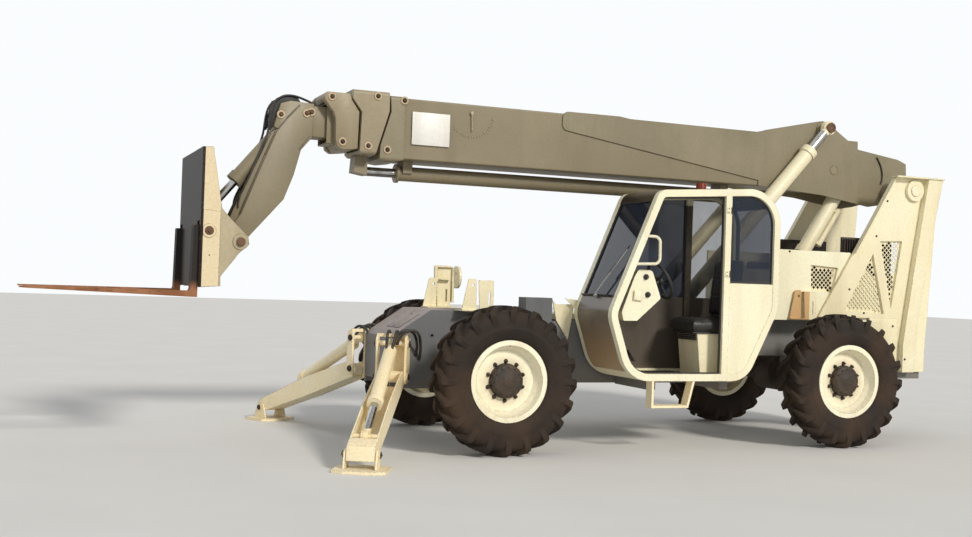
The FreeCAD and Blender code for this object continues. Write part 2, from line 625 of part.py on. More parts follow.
def build_body():
    tank = rounded_plate([(REAR_AXLE + 785, CAB_FLOOR, 60), (-1050, CAB_FLOOR, 60), (-1050, 1180, 90),
                          (REAR_AXLE + 785, 1180, 90)], -1100, -430)
    save("tank", tank)
    save("engine", block(REAR_AXLE - 915, REAR_AXLE - 55, -300, 300, ENGINE_LOW, 1480))
    front_x = REAR_AXLE + 485
    rear_x = REAR_AXLE - 955
    low = FRAME_REAR_TOP
    cover_in = COVER_OUT - COVER_WALL
    side = behind([(-485, low), (-485, COVER_TOP), (445, COVER_TOP), (955, 1500), (955, low)])
    wall = with_windows(plate(side, cover_in, COVER_OUT), [COVER_WINDOW], cover_in, COVER_OUT)
    front = block(front_x - 25, front_x, -cover_in, cover_in, low, 1700)
    shelf = block(front_x - 25, front_x, -COVER_OUT, COVER_OUT, low, low + 25)
    floor_lip = block(rear_x, front_x, RAIL_HALF - 25, cover_in, low, low + 15)
    save("engine_cover", join(both_sides(wall) + [front, shelf] + both_sides(floor_lip)))

    tower_plate = behind([(955, 2700), (465, 1900), (55, 1240), (1055, 1240), (1055, 690), (1415, 690),
                          (1415, 900), (1545, 2700)])
    wall = with_windows(plate(tower_plate, TOWER_IN, TOWER_OUT), TOWER_WINDOWS, TOWER_IN, TOWER_OUT)
    strip = plate(behind([(1355, 2700), (1215, 1876), (1075, 980), (1075, 690), (1225, 690), (1245, 1130),
                          (1410, 2070), (1545, 2700)]), TOWER_OUT, STRIP_OUT)
    edge = plate(behind([(955, 2700), (465, 1900), (477, 1894), (967, 2694)]), TOWER_OUT - 2, TOWER_OUT + 34)
    cap = block(REAR_REACH, REAR_AXLE - 935, TOWER_IN, STRIP_OUT + 12, 2700, 2716)
    boss = cross_rod(PIVOT, 110, TOWER_IN - 20, TOWER_OUT + 30)
    pieces = []
    for piece in (wall, strip, edge, cap, boss):
        pieces += both_sides(piece)
    pieces.append(cross_rod(PIVOT, 60, -TOWER_OUT - 40, TOWER_OUT + 40))
    cross = plate(behind([(1440, 1215), (1415, 1215), (1455, 1700), (1480, 1700)]), -TOWER_IN, TOWER_IN)
    pieces.append(cross)
    save("tower", join(pieces))
    save("counterweight", block(REAR_AXLE - 1375, REAR_AXLE - 1065, -TOWER_IN, TOWER_IN, 620, FRAME_ARCH))

    sheets = both_sides(pierced_sheet(behind(COVER_WINDOW), cover_in))
    for window in TOWER_WINDOWS:
        sheets += both_sides(pierced_sheet(behind(window), TOWER_IN))
    save("grilles", Part.makeCompound(sheets))


# Boom: four nested box sections, each with a collar that carries the next section

# half width, top, bottom, rear end, front end of each section
SECTIONS = [(BOOM_HALF, BOOM_TOP, BOOM_BOTTOM, BOOM_REAR, BOOM_FRONT),
            (195.0, 3056.0, 2598.0, BOOM_REAR + 280, 1120.0),
            (155.0, 3014.0, 2648.0, BOOM_REAR + 370, 1400.0),
            (117.0, 2974.0, 2700.0, BOOM_REAR + 460, 1600.0)]
WALLS = [BOOM_WALL, 10.0, 10.0, 10.0]


def section_tube(index, front):
    half, top, bottom, rear, _ = SECTIONS[index]
    wall = WALLS[index]
    outer = long_bar(rear, front, half, bottom, top, SECTION_BEND)
    inner = block(rear - 10, front + 10, -half + wall, half - wall, bottom + wall, top - wall)
    return outer.cut(inner)


def rear_collar(index):
    """Wear blocks round a section's rear end, that slide inside the section outside it."""
    half, top, bottom, rear, _ = SECTIONS[index]
    out_half, out_top, out_bottom, _, _ = SECTIONS[index - 1]
    wall = WALLS[index - 1] + PAD_GAP
    outer = block(rear, rear + 160, -out_half + wall, out_half - wall, out_bottom + wall, out_top - wall)
    inner = block(rear - 1, rear + 161, -half + 1, half - 1, bottom + 1, top - 1)
    return outer.cut(inner)


def passage(index):
    """The space through a collar that the next section slides in."""
    half, top, bottom, _, _ = SECTIONS[index]
    return block(-6000, 4000, -half - PAD_GAP, half + PAD_GAP, bottom - PAD_GAP, top + PAD_GAP)


def front_collar(outline, half):
    """A collar plate round a section's front end, drawn in the side view and rounded along its long edges."""
    lows = [z for _, z in outline]
    ends = [x for x, _ in outline]
    bar_shape = long_bar(min(ends) - 1, max(ends) + 1, half, min(lows), max(lows), COLLAR_BEND)
    return plate(outline, -half, half).common(bar_shape)


def core(index):
    """The hollow inside a section."""
    half, top, bottom, _, _ = SECTIONS[index]
    wall = WALLS[index]
    return block(-6000, 4000, -half + wall, half - wall, bottom + wall, top - wall)


def build_boom():
    pin_x = PIVOT[0]
    # ahead of the pivot, z
    rear_outline = [(1660, 3100), (1590, 3126), (960, 3262), (880, 3275), (800, 3250), (410, 3010),
                    (-120, 2940), (-230, 2900), (-240, 2740), (-140, 2500), (90, 2440), (260, 2412),
                    (860, 2500), (1660, 2550)]
    rear_plate = [(pin_x + ahead, z) for ahead, z in rear_outline]
    doubler = rounded_plate([(pin_x + 1628, 3098, 4), (-1600, 3104, 4), (-1480, 3120, 4), (-870, 3118, 60),
                             (-870, 2945, 60), (pin_x + 1628, 2601, 4)], BOOM_HALF, BOOM_HALF + SIDE_PLATE)
    half = BOOM_HALF
    tube = section_tube(0, BOOM_FRONT)
    pieces = [tube]
    pieces += both_sides(plate(rear_plate, half, half + SIDE_PLATE)) + both_sides(doubler)
    rear_lid = [(410, 3010), (-120, 2940), (-230, 2900), (-240, 2740), (-225, 2740), (-215, 2888),
                (-118, 2926), (410, 2996)]
    pieces.append(plate([(pin_x + ahead, z) for ahead, z in rear_lid], -half, half))
    pivot_tube = cross_rod(PIVOT, 105, -TOWER_IN + 24, TOWER_IN - 24)
    pieces.append(pivot_tube)
    for y0 in (half + SIDE_PLATE, -half - SIDE_PLATE - 8):
        pieces.append(cross_rod(LIFT_TOP, 80, y0, y0 + 8))
    for low_y in (COMP_Y - 60, COMP_Y + 36):
        ear = plate([(COMP_TOP[0] - 60, BOOM_TOP - 6), (COMP_TOP[0] + 60, BOOM_TOP - 6),
                     (COMP_TOP[0] + 45, COMP_TOP[1] - 45), (COMP_TOP[0] - 45, COMP_TOP[1] - 45)],
                    low_y, low_y + 24)
        pieces.append(ear)
    pieces.append(cross_rod(COMP_TOP, 28, COMP_Y - 60, COMP_Y + 60))
    room = COMP_BARREL + 14
    slot = block(BOOM_REAR - 10, COMP_TOP[0] + 175, COMP_Y - room, COMP_Y + room,
                 BOOM_BOTTOM - 5, BOOM_BOTTOM + 20)
    # front collar
    collar = front_collar([(700, 3112), (838, 3112), (828, 2966), (918, 2661), (925, 2538), (826, 2520),
                           (700, 2540)], half + 14).cut(passage(1))
    base = join(pieces).fuse(collar).removeSplitter()
    base = base.cut([cross_rod(PIVOT, 60 + RUN, -700, 700), slot])
    save("boom_base", base)

    collar_2 = [(849, 3138), (1182, 3138), (1189, 3057), (1101, 2943), (1110, 2597), (1083, 2566),
                (966, 2566), (938, 2661), (848, 2966)]
    bracket = plate([(985, 2566), (1100, 2566), (1110, 2420), (985, 2400)], -80, 80)
    second = section_tube(1, 1100)
    second = join([second, front_collar(collar_2, half + 22).cut(core(1)), rear_collar(1)])
    second = second.cut(passage(2).common(block(900, 2000, -500, 500, 2000, 3500)))
    second = join([second, bracket])
    save("boom_2", second)

    collar_3 = [(1200, 3100), (1429, 3100), (1448, 3058), (1400, 2892), (1400, 2680), (1360, 2613),
                (1200, 2602), (1122, 2604), (1118, 2940), (1200, 3050)]
    third = section_tube(2, 1390)
    third = join([third, front_collar(collar_3, half).cut(core(2)), rear_collar(2)])
    third = third.cut(passage(3).common(block(1100, 2000, -500, 500, 2000, 3500)))
    save("boom_3", third)

    fourth = section_tube(3, 1560)
    head = [(1505, 2990), (1690, 3000), (1777, 3018), (1850, 2985), (1935, 2741), (2050, 2360), (2262, 1760),
            (2235, 1680), (2170, 1660), (2080, 1745), (1745, 2134), (1663, 2355), (1607, 2576), (1514, 2690)]
    inside = SECTIONS[3][0] - WALLS[3]
    outside = inside + HEAD_PLATE
    cheek = plate(head, inside, outside)
    front_web = plate([(1850, 2985), (1935, 2741), (2050, 2360), (2090, 2250), (2070, 2245), (2030, 2355),
                       (1915, 2735), (1832, 2975)], inside - 22, inside)
    # the guide block for the hoses on top of the head
    guide = plate([(1606, 2930), (1625, 3074), (1738, 3065), (1806, 2960), (1790, 2930)],
                  18 - inside, inside - 18)
    guide_foot = plate([(1606, 2930), (1612, 2975), (1800, 2975), (1790, 2930)], -inside, inside)
    back_web = plate([(2080, 1745), (1745, 2134), (1663, 2355), (1607, 2576), (1514, 2690), (1536, 2706),
                      (1622, 2583), (1680, 2360), (1760, 2145), (2092, 1760)], -inside, inside)
    neck = [back_web, guide, guide_foot, cross_rod(CARRIAGE_PIN, 78, -outside, outside),
            cross_rod(TILT_TOP, 26, -inside, inside)]
    neck += both_sides(cheek) + both_sides(front_web)
    fourth = join([fourth, rear_collar(3)] + neck)
    fourth = fourth.cut(cross_rod(CARRIAGE_PIN, 38 + RUN, -200, 200))
    save("boom_4", fourth)

    # extension cylinder under the base section
    barrel_front = 700.0
    rear_end = barrel_front - STAGE_TRAVEL - 150
    barrel = bar(Vector(rear_end, 0, EXT_Z), Vector(barrel_front, 0, EXT_Z), EXT_BARREL)
    bore = bar(Vector(rear_end + 40, 0, EXT_Z), Vector(barrel_front + 10, 0, EXT_Z), EXT_ROD + RUN)
    gland = bar(Vector(barrel_front - 25, 0, EXT_Z), Vector(barrel_front, 0, EXT_Z), EXT_BARREL + 18)
    clamps = [block(x, x + 90, -90, 90, EXT_Z, BOOM_BOTTOM) for x in (barrel_front - 140, rear_end + 60)]
    save("extension_barrel", join([barrel, gland] + clamps).cut(bore))
    rod = bar(Vector(rear_end + 50, 0, EXT_Z), Vector(985, 0, EXT_Z), EXT_ROD)
    save("extension_rod", rod)


# Carriage and forks

def build_carriage():
    side = [(2520, 2495), (2440, 2502), (2409, 2349), (2365, 2078), (2349, 2001), (2274, 1919), (2130, 1780),
            (2120, 1715), (2200, 1640), (2346, 1443), (2343, 1366), (2520, 1352)]
    pieces = both_sides(plate(side, CARRIAGE_HALF - END_PLATE, CARRIAGE_HALF))
    pieces += both_sides(plate(side, LUG_IN, LUG_IN + LUG_PLATE))
    face = block(FACE_X, FACE_X + FACE_THICK, -CARRIAGE_HALF, CARRIAGE_HALF, 1355, 2497)
    pieces.append(face)
    for z in (1390.0, 2440.0):
        pieces.append(block(FACE_X - 70, FACE_X, -CARRIAGE_HALF, CARRIAGE_HALF, z, z + 50))
    # an edge strip on each side plate, a boss round the fork shaft and one on each pivot plate
    strip = rounded_plate([(2362, 1366, 6), (2512, 1356, 6), (2512, 1985, 14), (2362, 1978, 14)],
                          CARRIAGE_HALF - 2, CARRIAGE_HALF + 8)
    shaft_boss = cross_rod(FORK_SHAFT, 56, CARRIAGE_HALF, CARRIAGE_HALF + 16)
    pin_boss = cross_rod(CARRIAGE_PIN, 66, CARRIAGE_HALF - 2, CARRIAGE_HALF + 7)
    inner_boss = cross_rod(CARRIAGE_PIN, 66, LUG_IN + LUG_PLATE - 2, LUG_IN + LUG_PLATE + 12)
    for piece in (strip, shaft_boss, pin_boss, inner_boss):
        pieces += both_sides(piece)
    pieces.append(cross_rod(CARRIAGE_PIN, 38, -CARRIAGE_HALF - 14, CARRIAGE_HALF + 14))
    whole = join(pieces)
    half = FORK_WIDTH / 2 + 5
    for y in (FORK_Y, -FORK_Y):
        whole = whole.cut(block(FACE_X - 5, FACE_X + FACE_THICK + 5, y - half, y + half, 1735, 1895))
    whole = whole.cut(cross_rod(FORK_SHAFT, FORK_SHAFT_RADIUS + RUN, -900, 900))
    save("carriage", whole)

    reach = CARRIAGE_HALF + 20
    save("fork_shaft", cross_rod(FORK_SHAFT, FORK_SHAFT_RADIUS, -reach, reach))
    heel = FACE_X + FACE_THICK + SEAT
    low = FORK_TOP - FORK_THICK
    blade = plate([(heel, low), (heel + 60, low), (FORK_TIP - 60, FORK_TOP - 14), (FORK_TIP, FORK_TOP - 10),
                   (FORK_TIP, FORK_TOP), (heel + 62, FORK_TOP), (heel + 54, FORK_TOP + 20),
                   (heel + 46, 1860), (heel, 1860)], FORK_Y - FORK_WIDTH / 2, FORK_Y + FORK_WIDTH / 2)
    eye = cross_rod(FORK_SHAFT, 62, FORK_Y - FORK_WIDTH / 2, FORK_Y + FORK_WIDTH / 2)
    neck = block(FORK_SHAFT[0], heel, FORK_Y - FORK_WIDTH / 2, FORK_Y + FORK_WIDTH / 2, 1760, 1860)
    fork = join([blade, eye, neck])
    fork = fork.cut(cross_rod(FORK_SHAFT, FORK_SHAFT_RADIUS + RUN, 0, 900))
    save("forks", Part.makeCompound(both_sides(fork)))


# Hydraulic cylinders that work between two pins in the side view

def cylinder_pair(foot, top, y, barrel_radius, rod_radius, pin_foot, pin_top, eye_foot, eye_top,
                  barrel_length, pin_low, pin_high, draw_in):
    """The barrel, with its eye at the foot, and the rod, with its eye and pin at the top."""
    foot_half = 28.0
    shoulder = eye_foot + 75
    start = along(foot, top, shoulder)
    end = along(foot, top, barrel_length)
    bore_start = along(foot, top, shoulder + 40)
    beyond = along(foot, top, barrel_length + 10)
    barrel = side_bar(start, end, barrel_radius, y)
    gland = side_bar(along(foot, top, barrel_length - 70), end, barrel_radius + 10, y)
    eye = cross_rod(foot, eye_foot, y - foot_half, y + foot_half)
    neck = side_bar(along(foot, top, eye_foot * 0.6), start, foot_half - 3, y)
    barrel = join([barrel, gland, eye, neck])
    barrel = barrel.cut([side_bar(bore_start, beyond, rod_radius + RUN, y),
                         cross_rod(foot, pin_foot + RUN, y - 200, y + 200)])
    rod_start = along(foot, top, shoulder + 50 + draw_in)
    rod = side_bar(rod_start, along(foot, top, span(foot, top) - eye_top * 0.6), rod_radius, y)
    rod_eye = cross_rod(top, eye_top, y - foot_half, y + foot_half)
    rod = join([rod, rod_eye, cross_rod(top, pin_top, pin_low, pin_high)])
    return barrel, rod


def build_cylinders():
    boom_side = BOOM_HALF + SIDE_PLATE + 8
    barrel, rod = cylinder_pair(LIFT_FOOT, LIFT_TOP, LIFT_Y, LIFT_BARREL, LIFT_ROD, 34, 36, 70, 72,
                                span(LIFT_FOOT, LIFT_TOP) - 330, boom_side + SEAT, LIFT_Y + 46, 0.0)
    save("lift_barrels", Part.makeCompound(both_sides(barrel)))
    save("lift_rods", Part.makeCompound(both_sides(rod)))
    # this one hangs the other way up, with its barrel on the boom
    barrel, rod = cylinder_pair(COMP_TOP, COMP_FOOT, COMP_Y, COMP_BARREL, COMP_ROD, 28, 28, 56, 56,
                                span(COMP_FOOT, COMP_TOP) - 960, COMP_Y - 40 + SEAT, COMP_Y + 40 - SEAT, 0.0)
    save("compensating_barrel", barrel)
    save("compensating_rod", rod)
    barrel, rod = cylinder_pair(TILT_TOP, TILT_FOOT, 0.0, TILT_BARREL, TILT_ROD, 26, 28, 54, 58,
                                span(TILT_TOP, TILT_FOOT) - 350, SEAT - LUG_IN, LUG_IN - SEAT, TILT_DRAW_IN)
    save("tilt_barrel", barrel)
    save("tilt_rod", rod)


# Stabilizers: a channel leg on a low hinge, pushed down by a cylinder that lies in it

def splayed(shape):
    """Moves a piece drawn in the plane y = 0 over the hinge out to the left leg's place."""
    placed = shape.copy()
    placed.rotate(Vector(0, 0, 0), Vector(0, 0, 1), 90 - SPLAY)
    placed.translate(Vector(HINGE_XY[0], HINGE_XY[1], 0))
    return placed


def save_pair(name, shape):
    left = splayed(shape)
    save(name + "_left", left)
    save(name + "_right", mirrored(left))


def build_stabilizers():
    hinge = (0.0, HINGE_Z)
    head = (0.0, HEAD_Z)
    drop = HINGE_Z - FOOT_PIN[1]
    slope = drop / FOOT_PIN[0]
    # the leg's side plates, deeper at mid length
    cheek = rounded_plate([(-52, HINGE_Z - 60, 40), (70, HINGE_Z + 62, 40),
                           (700, HINGE_Z - 700 * slope + 120, 60), (FOOT_PIN[0] + 62, FOOT_PIN[1] + 60, 40),
                           (FOOT_PIN[0] + 40, FOOT_PIN[1] - 52, 30), (700, HINGE_Z - 700 * slope - 75, 60)],
                          LEG_HALF - LEG_PLATE, LEG_HALF)
    sole = plate([(90, HINGE_Z - 90 * slope - 62), (700, HINGE_Z - 700 * slope - 74),
                  (FOOT_PIN[0] - 60, FOOT_PIN[1] - 28), (FOOT_PIN[0] - 64, FOOT_PIN[1] - 12),
                  (700, HINGE_Z - 700 * slope - 58), (90, HINGE_Z - 90 * slope - 46)], -LEG_HALF, LEG_HALF)
    toe = plate([(FOOT_PIN[0] - 80, FOOT_PIN[1] + 30), (FOOT_PIN[0] + 20, FOOT_PIN[1] + 60),
                 (FOOT_PIN[0] + 25, FOOT_PIN[1] + 44), (FOOT_PIN[0] - 74, FOOT_PIN[1] + 14)],
                -LEG_HALF, LEG_HALF)
    tube = cross_rod(hinge, 50, -LEG_HALF, LEG_HALF)
    leg = join(both_sides(cheek) + [sole, toe, tube])
    bore = STAB_PIN + RUN
    leg = leg.cut([cross_rod(hinge, bore, -300, 300), cross_rod(FOOT_PIN, bore, -300, 300)])
    save_pair("stabilizer_leg", leg)

    ear_y = LEG_HALF + SIDE_PLAY
    ear = rounded_plate([(FOOT_PIN[0] - 85, PAD_THICK - 2, 5), (FOOT_PIN[0] + 85, PAD_THICK - 2, 5),
                         (FOOT_PIN[0] + 42, FOOT_PIN[1] + 42, 38), (FOOT_PIN[0] - 42, FOOT_PIN[1] + 42, 38)],
                        ear_y, ear_y + 18)
    reach = PAD_LENGTH / 2
    half = PAD_WIDTH / 2
    corners = [(-half + 40, -reach), (half - 40, -reach), (half, -reach + 90), (half, reach - 90),
               (half - 40, reach), (-half + 40, reach), (-half, reach - 90), (-half, -reach + 90)]
    points = [Vector(FOOT_PIN[0] + s, t, 0) for s, t in corners]
    sole_plate = Part.Face(Part.makePolygon(points + points[:1])).extrude(Vector(0, 0, PAD_THICK))
    pin = cross_rod(FOOT_PIN, STAB_PIN, -ear_y - 30, ear_y + 30)
    save_pair("stabilizer_pad", join([sole_plate, pin] + both_sides(ear)))

    length = span(head, ROD_PIN)
    pin_half = LEG_HALF - LEG_PLATE - SEAT
    barrel, rod = cylinder_pair(head, ROD_PIN, 0.0, STAB_BARREL, STAB_ROD, STAB_PIN, STAB_PIN, 46, 46,
                                length - 430, -pin_half, pin_half, STAB_DRAW_IN)
    save_pair("stabilizer_barrel", barrel)
    save_pair("stabilizer_rod", rod)

    bracket_y = LEG_HALF + SIDE_PLAY
    cheek = rounded_plate([(-60, HINGE_Z - 60, 40), (62, HINGE_Z - 60, 40), (50, HEAD_Z + 55, 38),
                           (-10, HEAD_Z + 85, 10), (-60, HEAD_Z + 85, 10)], bracket_y, bracket_y + 22)
    collar = cross_rod(head, 36, bracket_y + 20, bracket_y + 31)
    low_collar = cross_rod(hinge, 36, bracket_y + 20, bracket_y + 31)
    pieces = both_sides(cheek) + both_sides(collar) + both_sides(low_collar)
    pieces.append(block(-60, -12, -bracket_y, bracket_y, HEAD_Z + 54, HEAD_Z + 85))
    pieces.append(cross_rod(hinge, STAB_PIN, -bracket_y - 34, bracket_y + 34))
    pieces.append(cross_rod(head, STAB_PIN, -bracket_y - 34, bracket_y + 34))
    pieces.append(block(-150, -60, -bracket_y - 22, bracket_y + 22, HINGE_Z - 50, HEAD_Z + 45))
    left = splayed(join(pieces))
    inner_rail = block(-2000, 3000, -RAIL_HALF, RAIL_HALF, 0, 2000)
    left = left.cut(inner_rail)
    return left


def main():
    os.makedirs("parts", exist_ok=True)
    build_wheels()
    brackets = build_stabilizers()
    save("stabilizer_brackets", Part.makeCompound([brackets, mirrored(brackets)]))
    save("chassis", chassis())
    build_fender_brackets()
    build_cab()
    build_body()
    build_boom()
    build_carriage()
    build_cylinders()


main()
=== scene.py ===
import math
import bmesh
import bpy
from mathutils import Matrix, Vector


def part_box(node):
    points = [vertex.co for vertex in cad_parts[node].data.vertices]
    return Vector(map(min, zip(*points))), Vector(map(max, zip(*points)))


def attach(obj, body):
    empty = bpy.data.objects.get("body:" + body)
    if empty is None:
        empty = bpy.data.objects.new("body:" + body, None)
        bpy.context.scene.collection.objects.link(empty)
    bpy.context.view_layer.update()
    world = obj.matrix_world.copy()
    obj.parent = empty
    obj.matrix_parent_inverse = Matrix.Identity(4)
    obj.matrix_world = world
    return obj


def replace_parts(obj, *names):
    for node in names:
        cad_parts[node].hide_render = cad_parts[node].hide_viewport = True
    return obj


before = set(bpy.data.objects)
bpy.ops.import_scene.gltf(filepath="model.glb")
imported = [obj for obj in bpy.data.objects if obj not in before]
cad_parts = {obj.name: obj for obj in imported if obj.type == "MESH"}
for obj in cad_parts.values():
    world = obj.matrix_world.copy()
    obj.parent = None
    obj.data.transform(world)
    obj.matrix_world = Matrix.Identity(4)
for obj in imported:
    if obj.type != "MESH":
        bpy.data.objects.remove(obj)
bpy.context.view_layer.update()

# The studio: a pale matt floor, one broad lamp low behind the machine's left and an even sky.
# The camera stands where the photograph was taken, about breast high and level with the door.
axle_low, axle_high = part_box("front_axle")
FRONT_AXLE_X = (axle_low.x + axle_high.x) / 2
scene = bpy.context.scene
scene.view_settings.view_transform = "Standard"


def from_axle(x, y, z):
    """A place measured from the ground under the middle of the front axle, in metres."""
    return Vector((FRONT_AXLE_X + x, y, z))


yaw, pitch, roll = (math.radians(angle) for angle in (22.27, 0.67, 1.96))
ahead = Vector((-math.sin(yaw) * math.cos(pitch), -math.cos(yaw) * math.cos(pitch), math.sin(pitch)))
level = ahead.cross(Vector((0, 0, 1))).normalized()
upright = level.cross(ahead)
right = level * math.cos(roll) + upright * math.sin(roll)
up = upright * math.cos(roll) - level * math.sin(roll)
camera_data = bpy.data.cameras.new("camera")
camera_data.sensor_fit = "HORIZONTAL"
camera_data.angle = 2 * math.atan(486 / 1179.6)
camera = bpy.data.objects.new("camera", camera_data)
camera.matrix_world = Matrix.Translation(from_axle(3.9896, 10.3197, 1.4715)) @ Matrix(
    (right, up, -ahead)).transposed().to_4x4()
scene.collection.objects.link(camera)
scene.camera = camera


class Val:
    """A shader socket that takes part in Python arithmetic. start() opens a new material."""

    def __init__(self, tree, socket=None):
        self.tree = tree
        self.socket = socket

    @classmethod
    def start(cls, name):
        material = bpy.data.materials.new(name)
        material.use_nodes = True
        material.node_tree.nodes.clear()
        made = cls(material.node_tree)
        made.material = material
        return made

    def node(self, kind, settings, sockets, out=0):
        """Adds a node of a type with its settings, then the values or links of its sockets."""
        made = self.tree.nodes.new(kind)
        for name, value in settings.items():
            setattr(made, name, value)
        for name, value in sockets.items():
            if isinstance(value, Val):
                self.tree.links.new(value.socket, made.inputs[name])
            else:
                made.inputs[name].default_value = value
        if made.outputs:
            return Val(self.tree, made.outputs[out])

    def other(self, name):
        """Another output of the node that this value comes from."""
        return Val(self.tree, self.socket.node.outputs[name])

    def math(self, operation, *terms):
        return self.node("ShaderNodeMath", {"operation": operation}, dict(enumerate(terms)))

    def __add__(self, other):
        return self.math("ADD", self, other)

    __radd__ = __add__

    def __mul__(self, other):
        return self.math("MULTIPLY", self, other)

    __rmul__ = __mul__

    def __sub__(self, other):
        return self.math("SUBTRACT", self, other)

    def __rsub__(self, other):
        return self.math("SUBTRACT", other, self)

    def step(self, low, high, start=0.0, end=1.0):
        """A smooth step from start to end as the value goes from low to high."""
        sockets = {"Value": self, "From Min": low, "From Max": high, "To Min": start, "To Max": end}
        return self.node("ShaderNodeMapRange", {"interpolation_type": "SMOOTHSTEP"}, sockets)

    def mix(self, first, second):
        """The first colour where the value is 0 and the second where it is 1."""
        return self.node("ShaderNodeMix", {"data_type": "RGBA"}, {0: self, 6: first, 7: second}, 2)

    def place(self, stretch=(1, 1, 1)):
        """The point in the piece's own metres, drawn out along an axis where stretch is small."""
        at = self.node("ShaderNodeTexCoord", {}, {}, "Object")
        return self.node("ShaderNodeVectorMath", {"operation": "MULTIPLY"}, {0: at, 1: stretch})

    def axis(self, name):
        return self.node("ShaderNodeSeparateXYZ", {}, {"Vector": self.place()}, name)

    def noise(self, scale, detail=4.0, stretch=(1, 1, 1)):
        sockets = {"Vector": self.place(stretch), "Scale": scale, "Detail": detail}
        return self.node("ShaderNodeTexNoise", {}, sockets)

    def finish(self, sockets):
        """Closes the material with its surface shader."""
        shader = self.node("ShaderNodeBsdfPrincipled", {}, sockets)
        self.node("ShaderNodeOutputMaterial", {}, {"Surface": shader})
        return self.material


ground = Val.start("studio_floor")
ground_colour = ground.noise(0.9, 5.0).mix((0.66, 0.65, 0.63, 1), (0.74, 0.73, 0.71, 1))
studio_floor = ground.finish({"Base Color": ground_colour, "Roughness": 0.92})
floor_reach = 60.0
floor_mesh = bpy.data.meshes.new("floor")
floor_mesh.from_pydata([(-floor_reach, -floor_reach, 0), (floor_reach, -floor_reach, 0),
                        (floor_reach, floor_reach, 0), (-floor_reach, floor_reach, 0)], [], [(0, 1, 2, 3)])
floor_mesh.materials.append(studio_floor)
floor = bpy.data.objects.new("floor", floor_mesh)
scene.collection.objects.link(floor)

world = bpy.data.worlds.new("sky")
world.use_nodes = True
world.node_tree.nodes.clear()
sky = Val(world.node_tree)
camera_ray = sky.node("ShaderNodeLightPath", {}, {}, "Is Camera Ray")
white = sky.math("MAXIMUM", camera_ray, camera_ray.other("Is Glossy Ray") * 0.75)
white = sky.math("MAXIMUM", white, camera_ray.other("Is Transmission Ray"))
sky_light = sky.node("ShaderNodeBackground", {}, {"Color": (0.96, 0.98, 1.0, 1), "Strength": 0.42 + white * 0.58})
sky.node("ShaderNodeOutputWorld", {}, {"Surface": sky_light})
scene.world = world
# lamp: strength, softness in degrees, where it comes from, colour
for name, strength, spread, source, tint in (("key", 2.3, 10.0, (-1.9, 6.0, 3.9), (1.0, 0.95, 0.87)),
                                             ("fill", 0.3, 60.0, (7.0, 4.0, 2.5), (0.92, 0.96, 1.0)),
                                             ("back", 0.3, 60.0, (4.0, -6.0, 5.0), (0.94, 0.97, 1.0))):
    lamp = bpy.data.lights.new(name, "SUN")
    lamp.energy = strength
    lamp.angle = math.radians(spread)
    lamp.color = tint
    lamp_object = bpy.data.objects.new(name, lamp)
    lamp_object.rotation_euler = Vector(source).to_track_quat("Z", "Y").to_euler()
    scene.collection.objects.link(lamp_object)


# The frame: two rails of plate steel with cross members and a nose box, welded and painted blue grey.
# Road dirt has dulled the paint, and it is rubbed bright to rust along its edges.
def painted(name, coat, faded, gloss=0.42, wear=0.5, dirt=0.4, dirt_top=1.1, streaks=0.5, over=None,
            shine=0.5):
    """Sprayed paint on steel: faded in patches, streaked by rain, chipped along edges, dusty below and on top.
    A second colour that covers part of the piece is laid by over, from the skin and the first colour."""
    skin = Val.start(name)
    patch = skin.noise(1.1, 6.0)
    streak = skin.noise(4.0, 6.0, (1.0, 1.0, 0.12))
    grain = skin.noise(38.0, 5.0)
    speck = skin.noise(210.0, 2.0)
    rounded = skin.node("ShaderNodeBevel", {"samples": 4}, {"Radius": 0.006})
    normal = skin.node("ShaderNodeNewGeometry", {}, {}, "Normal")
    together = skin.node("ShaderNodeVectorMath", {"operation": "DOT_PRODUCT"}, {0: rounded, 1: normal}, 1)
    edge = (1 - together).step(0.015, 0.12) * (grain + patch * 0.6).step(0.86 - wear * 0.3, 0.98 - wear * 0.3)
    chip = (grain * 0.7 + speck * 0.3).step(0.70 - wear * 0.05, 0.72 - wear * 0.05) * patch.step(0.5, 0.65)
    bare = skin.math("MINIMUM", edge + chip, 1.0)
    facing = skin.node("ShaderNodeSeparateXYZ", {}, {"Vector": normal}, "Z")
    height = skin.axis("Z")
    low = height.step(0.15, dirt_top, 1.0, 0.0)
    dust = (low * 0.8 + facing.step(0.4, 0.95) * 0.75) * (streak * 0.7 + grain * 0.5).step(0.3, 0.75) * dirt
    rain = streak.step(0.5, 0.68) * (1 - facing.step(0.2, 0.6)) * streaks
    colour = patch.step(0.35, 0.7).mix(coat, faded)
    if over:
        colour = over(skin, colour)
    grime = tuple(part * shade for part, shade in zip(coat[:3], (0.52, 0.44, 0.34))) + (1,)
    colour = (rain * 0.55).mix(colour, grime)
    colour = (grain.step(0.3, 0.8) * 0.16).mix(colour, grime)
    colour = dust.mix(colour, (0.235, 0.175, 0.115, 1))
    rust = speck.mix((0.115, 0.045, 0.018, 1), (0.05, 0.028, 0.018, 1))
    colour = (bare * min(1.0, wear + 0.35)).mix(colour, rust)
    rough = gloss + rain * 0.15 + dust * 0.4 + bare * 0.3 + grain * 0.08
    relief = grain * 0.35 + speck * 0.12 - bare * 0.8
    bump = skin.node("ShaderNodeBump", {}, {"Height": relief, "Strength": 0.22, "Distance": 0.002, "Normal": rounded})
    return skin.finish({"Base Color": colour, "Roughness": rough, "Normal": bump, "Specular IOR Level": shine})


def dress(material, *names):
    """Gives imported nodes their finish."""
    for name in names:
        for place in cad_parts[name].material_slots:
            place.material = material


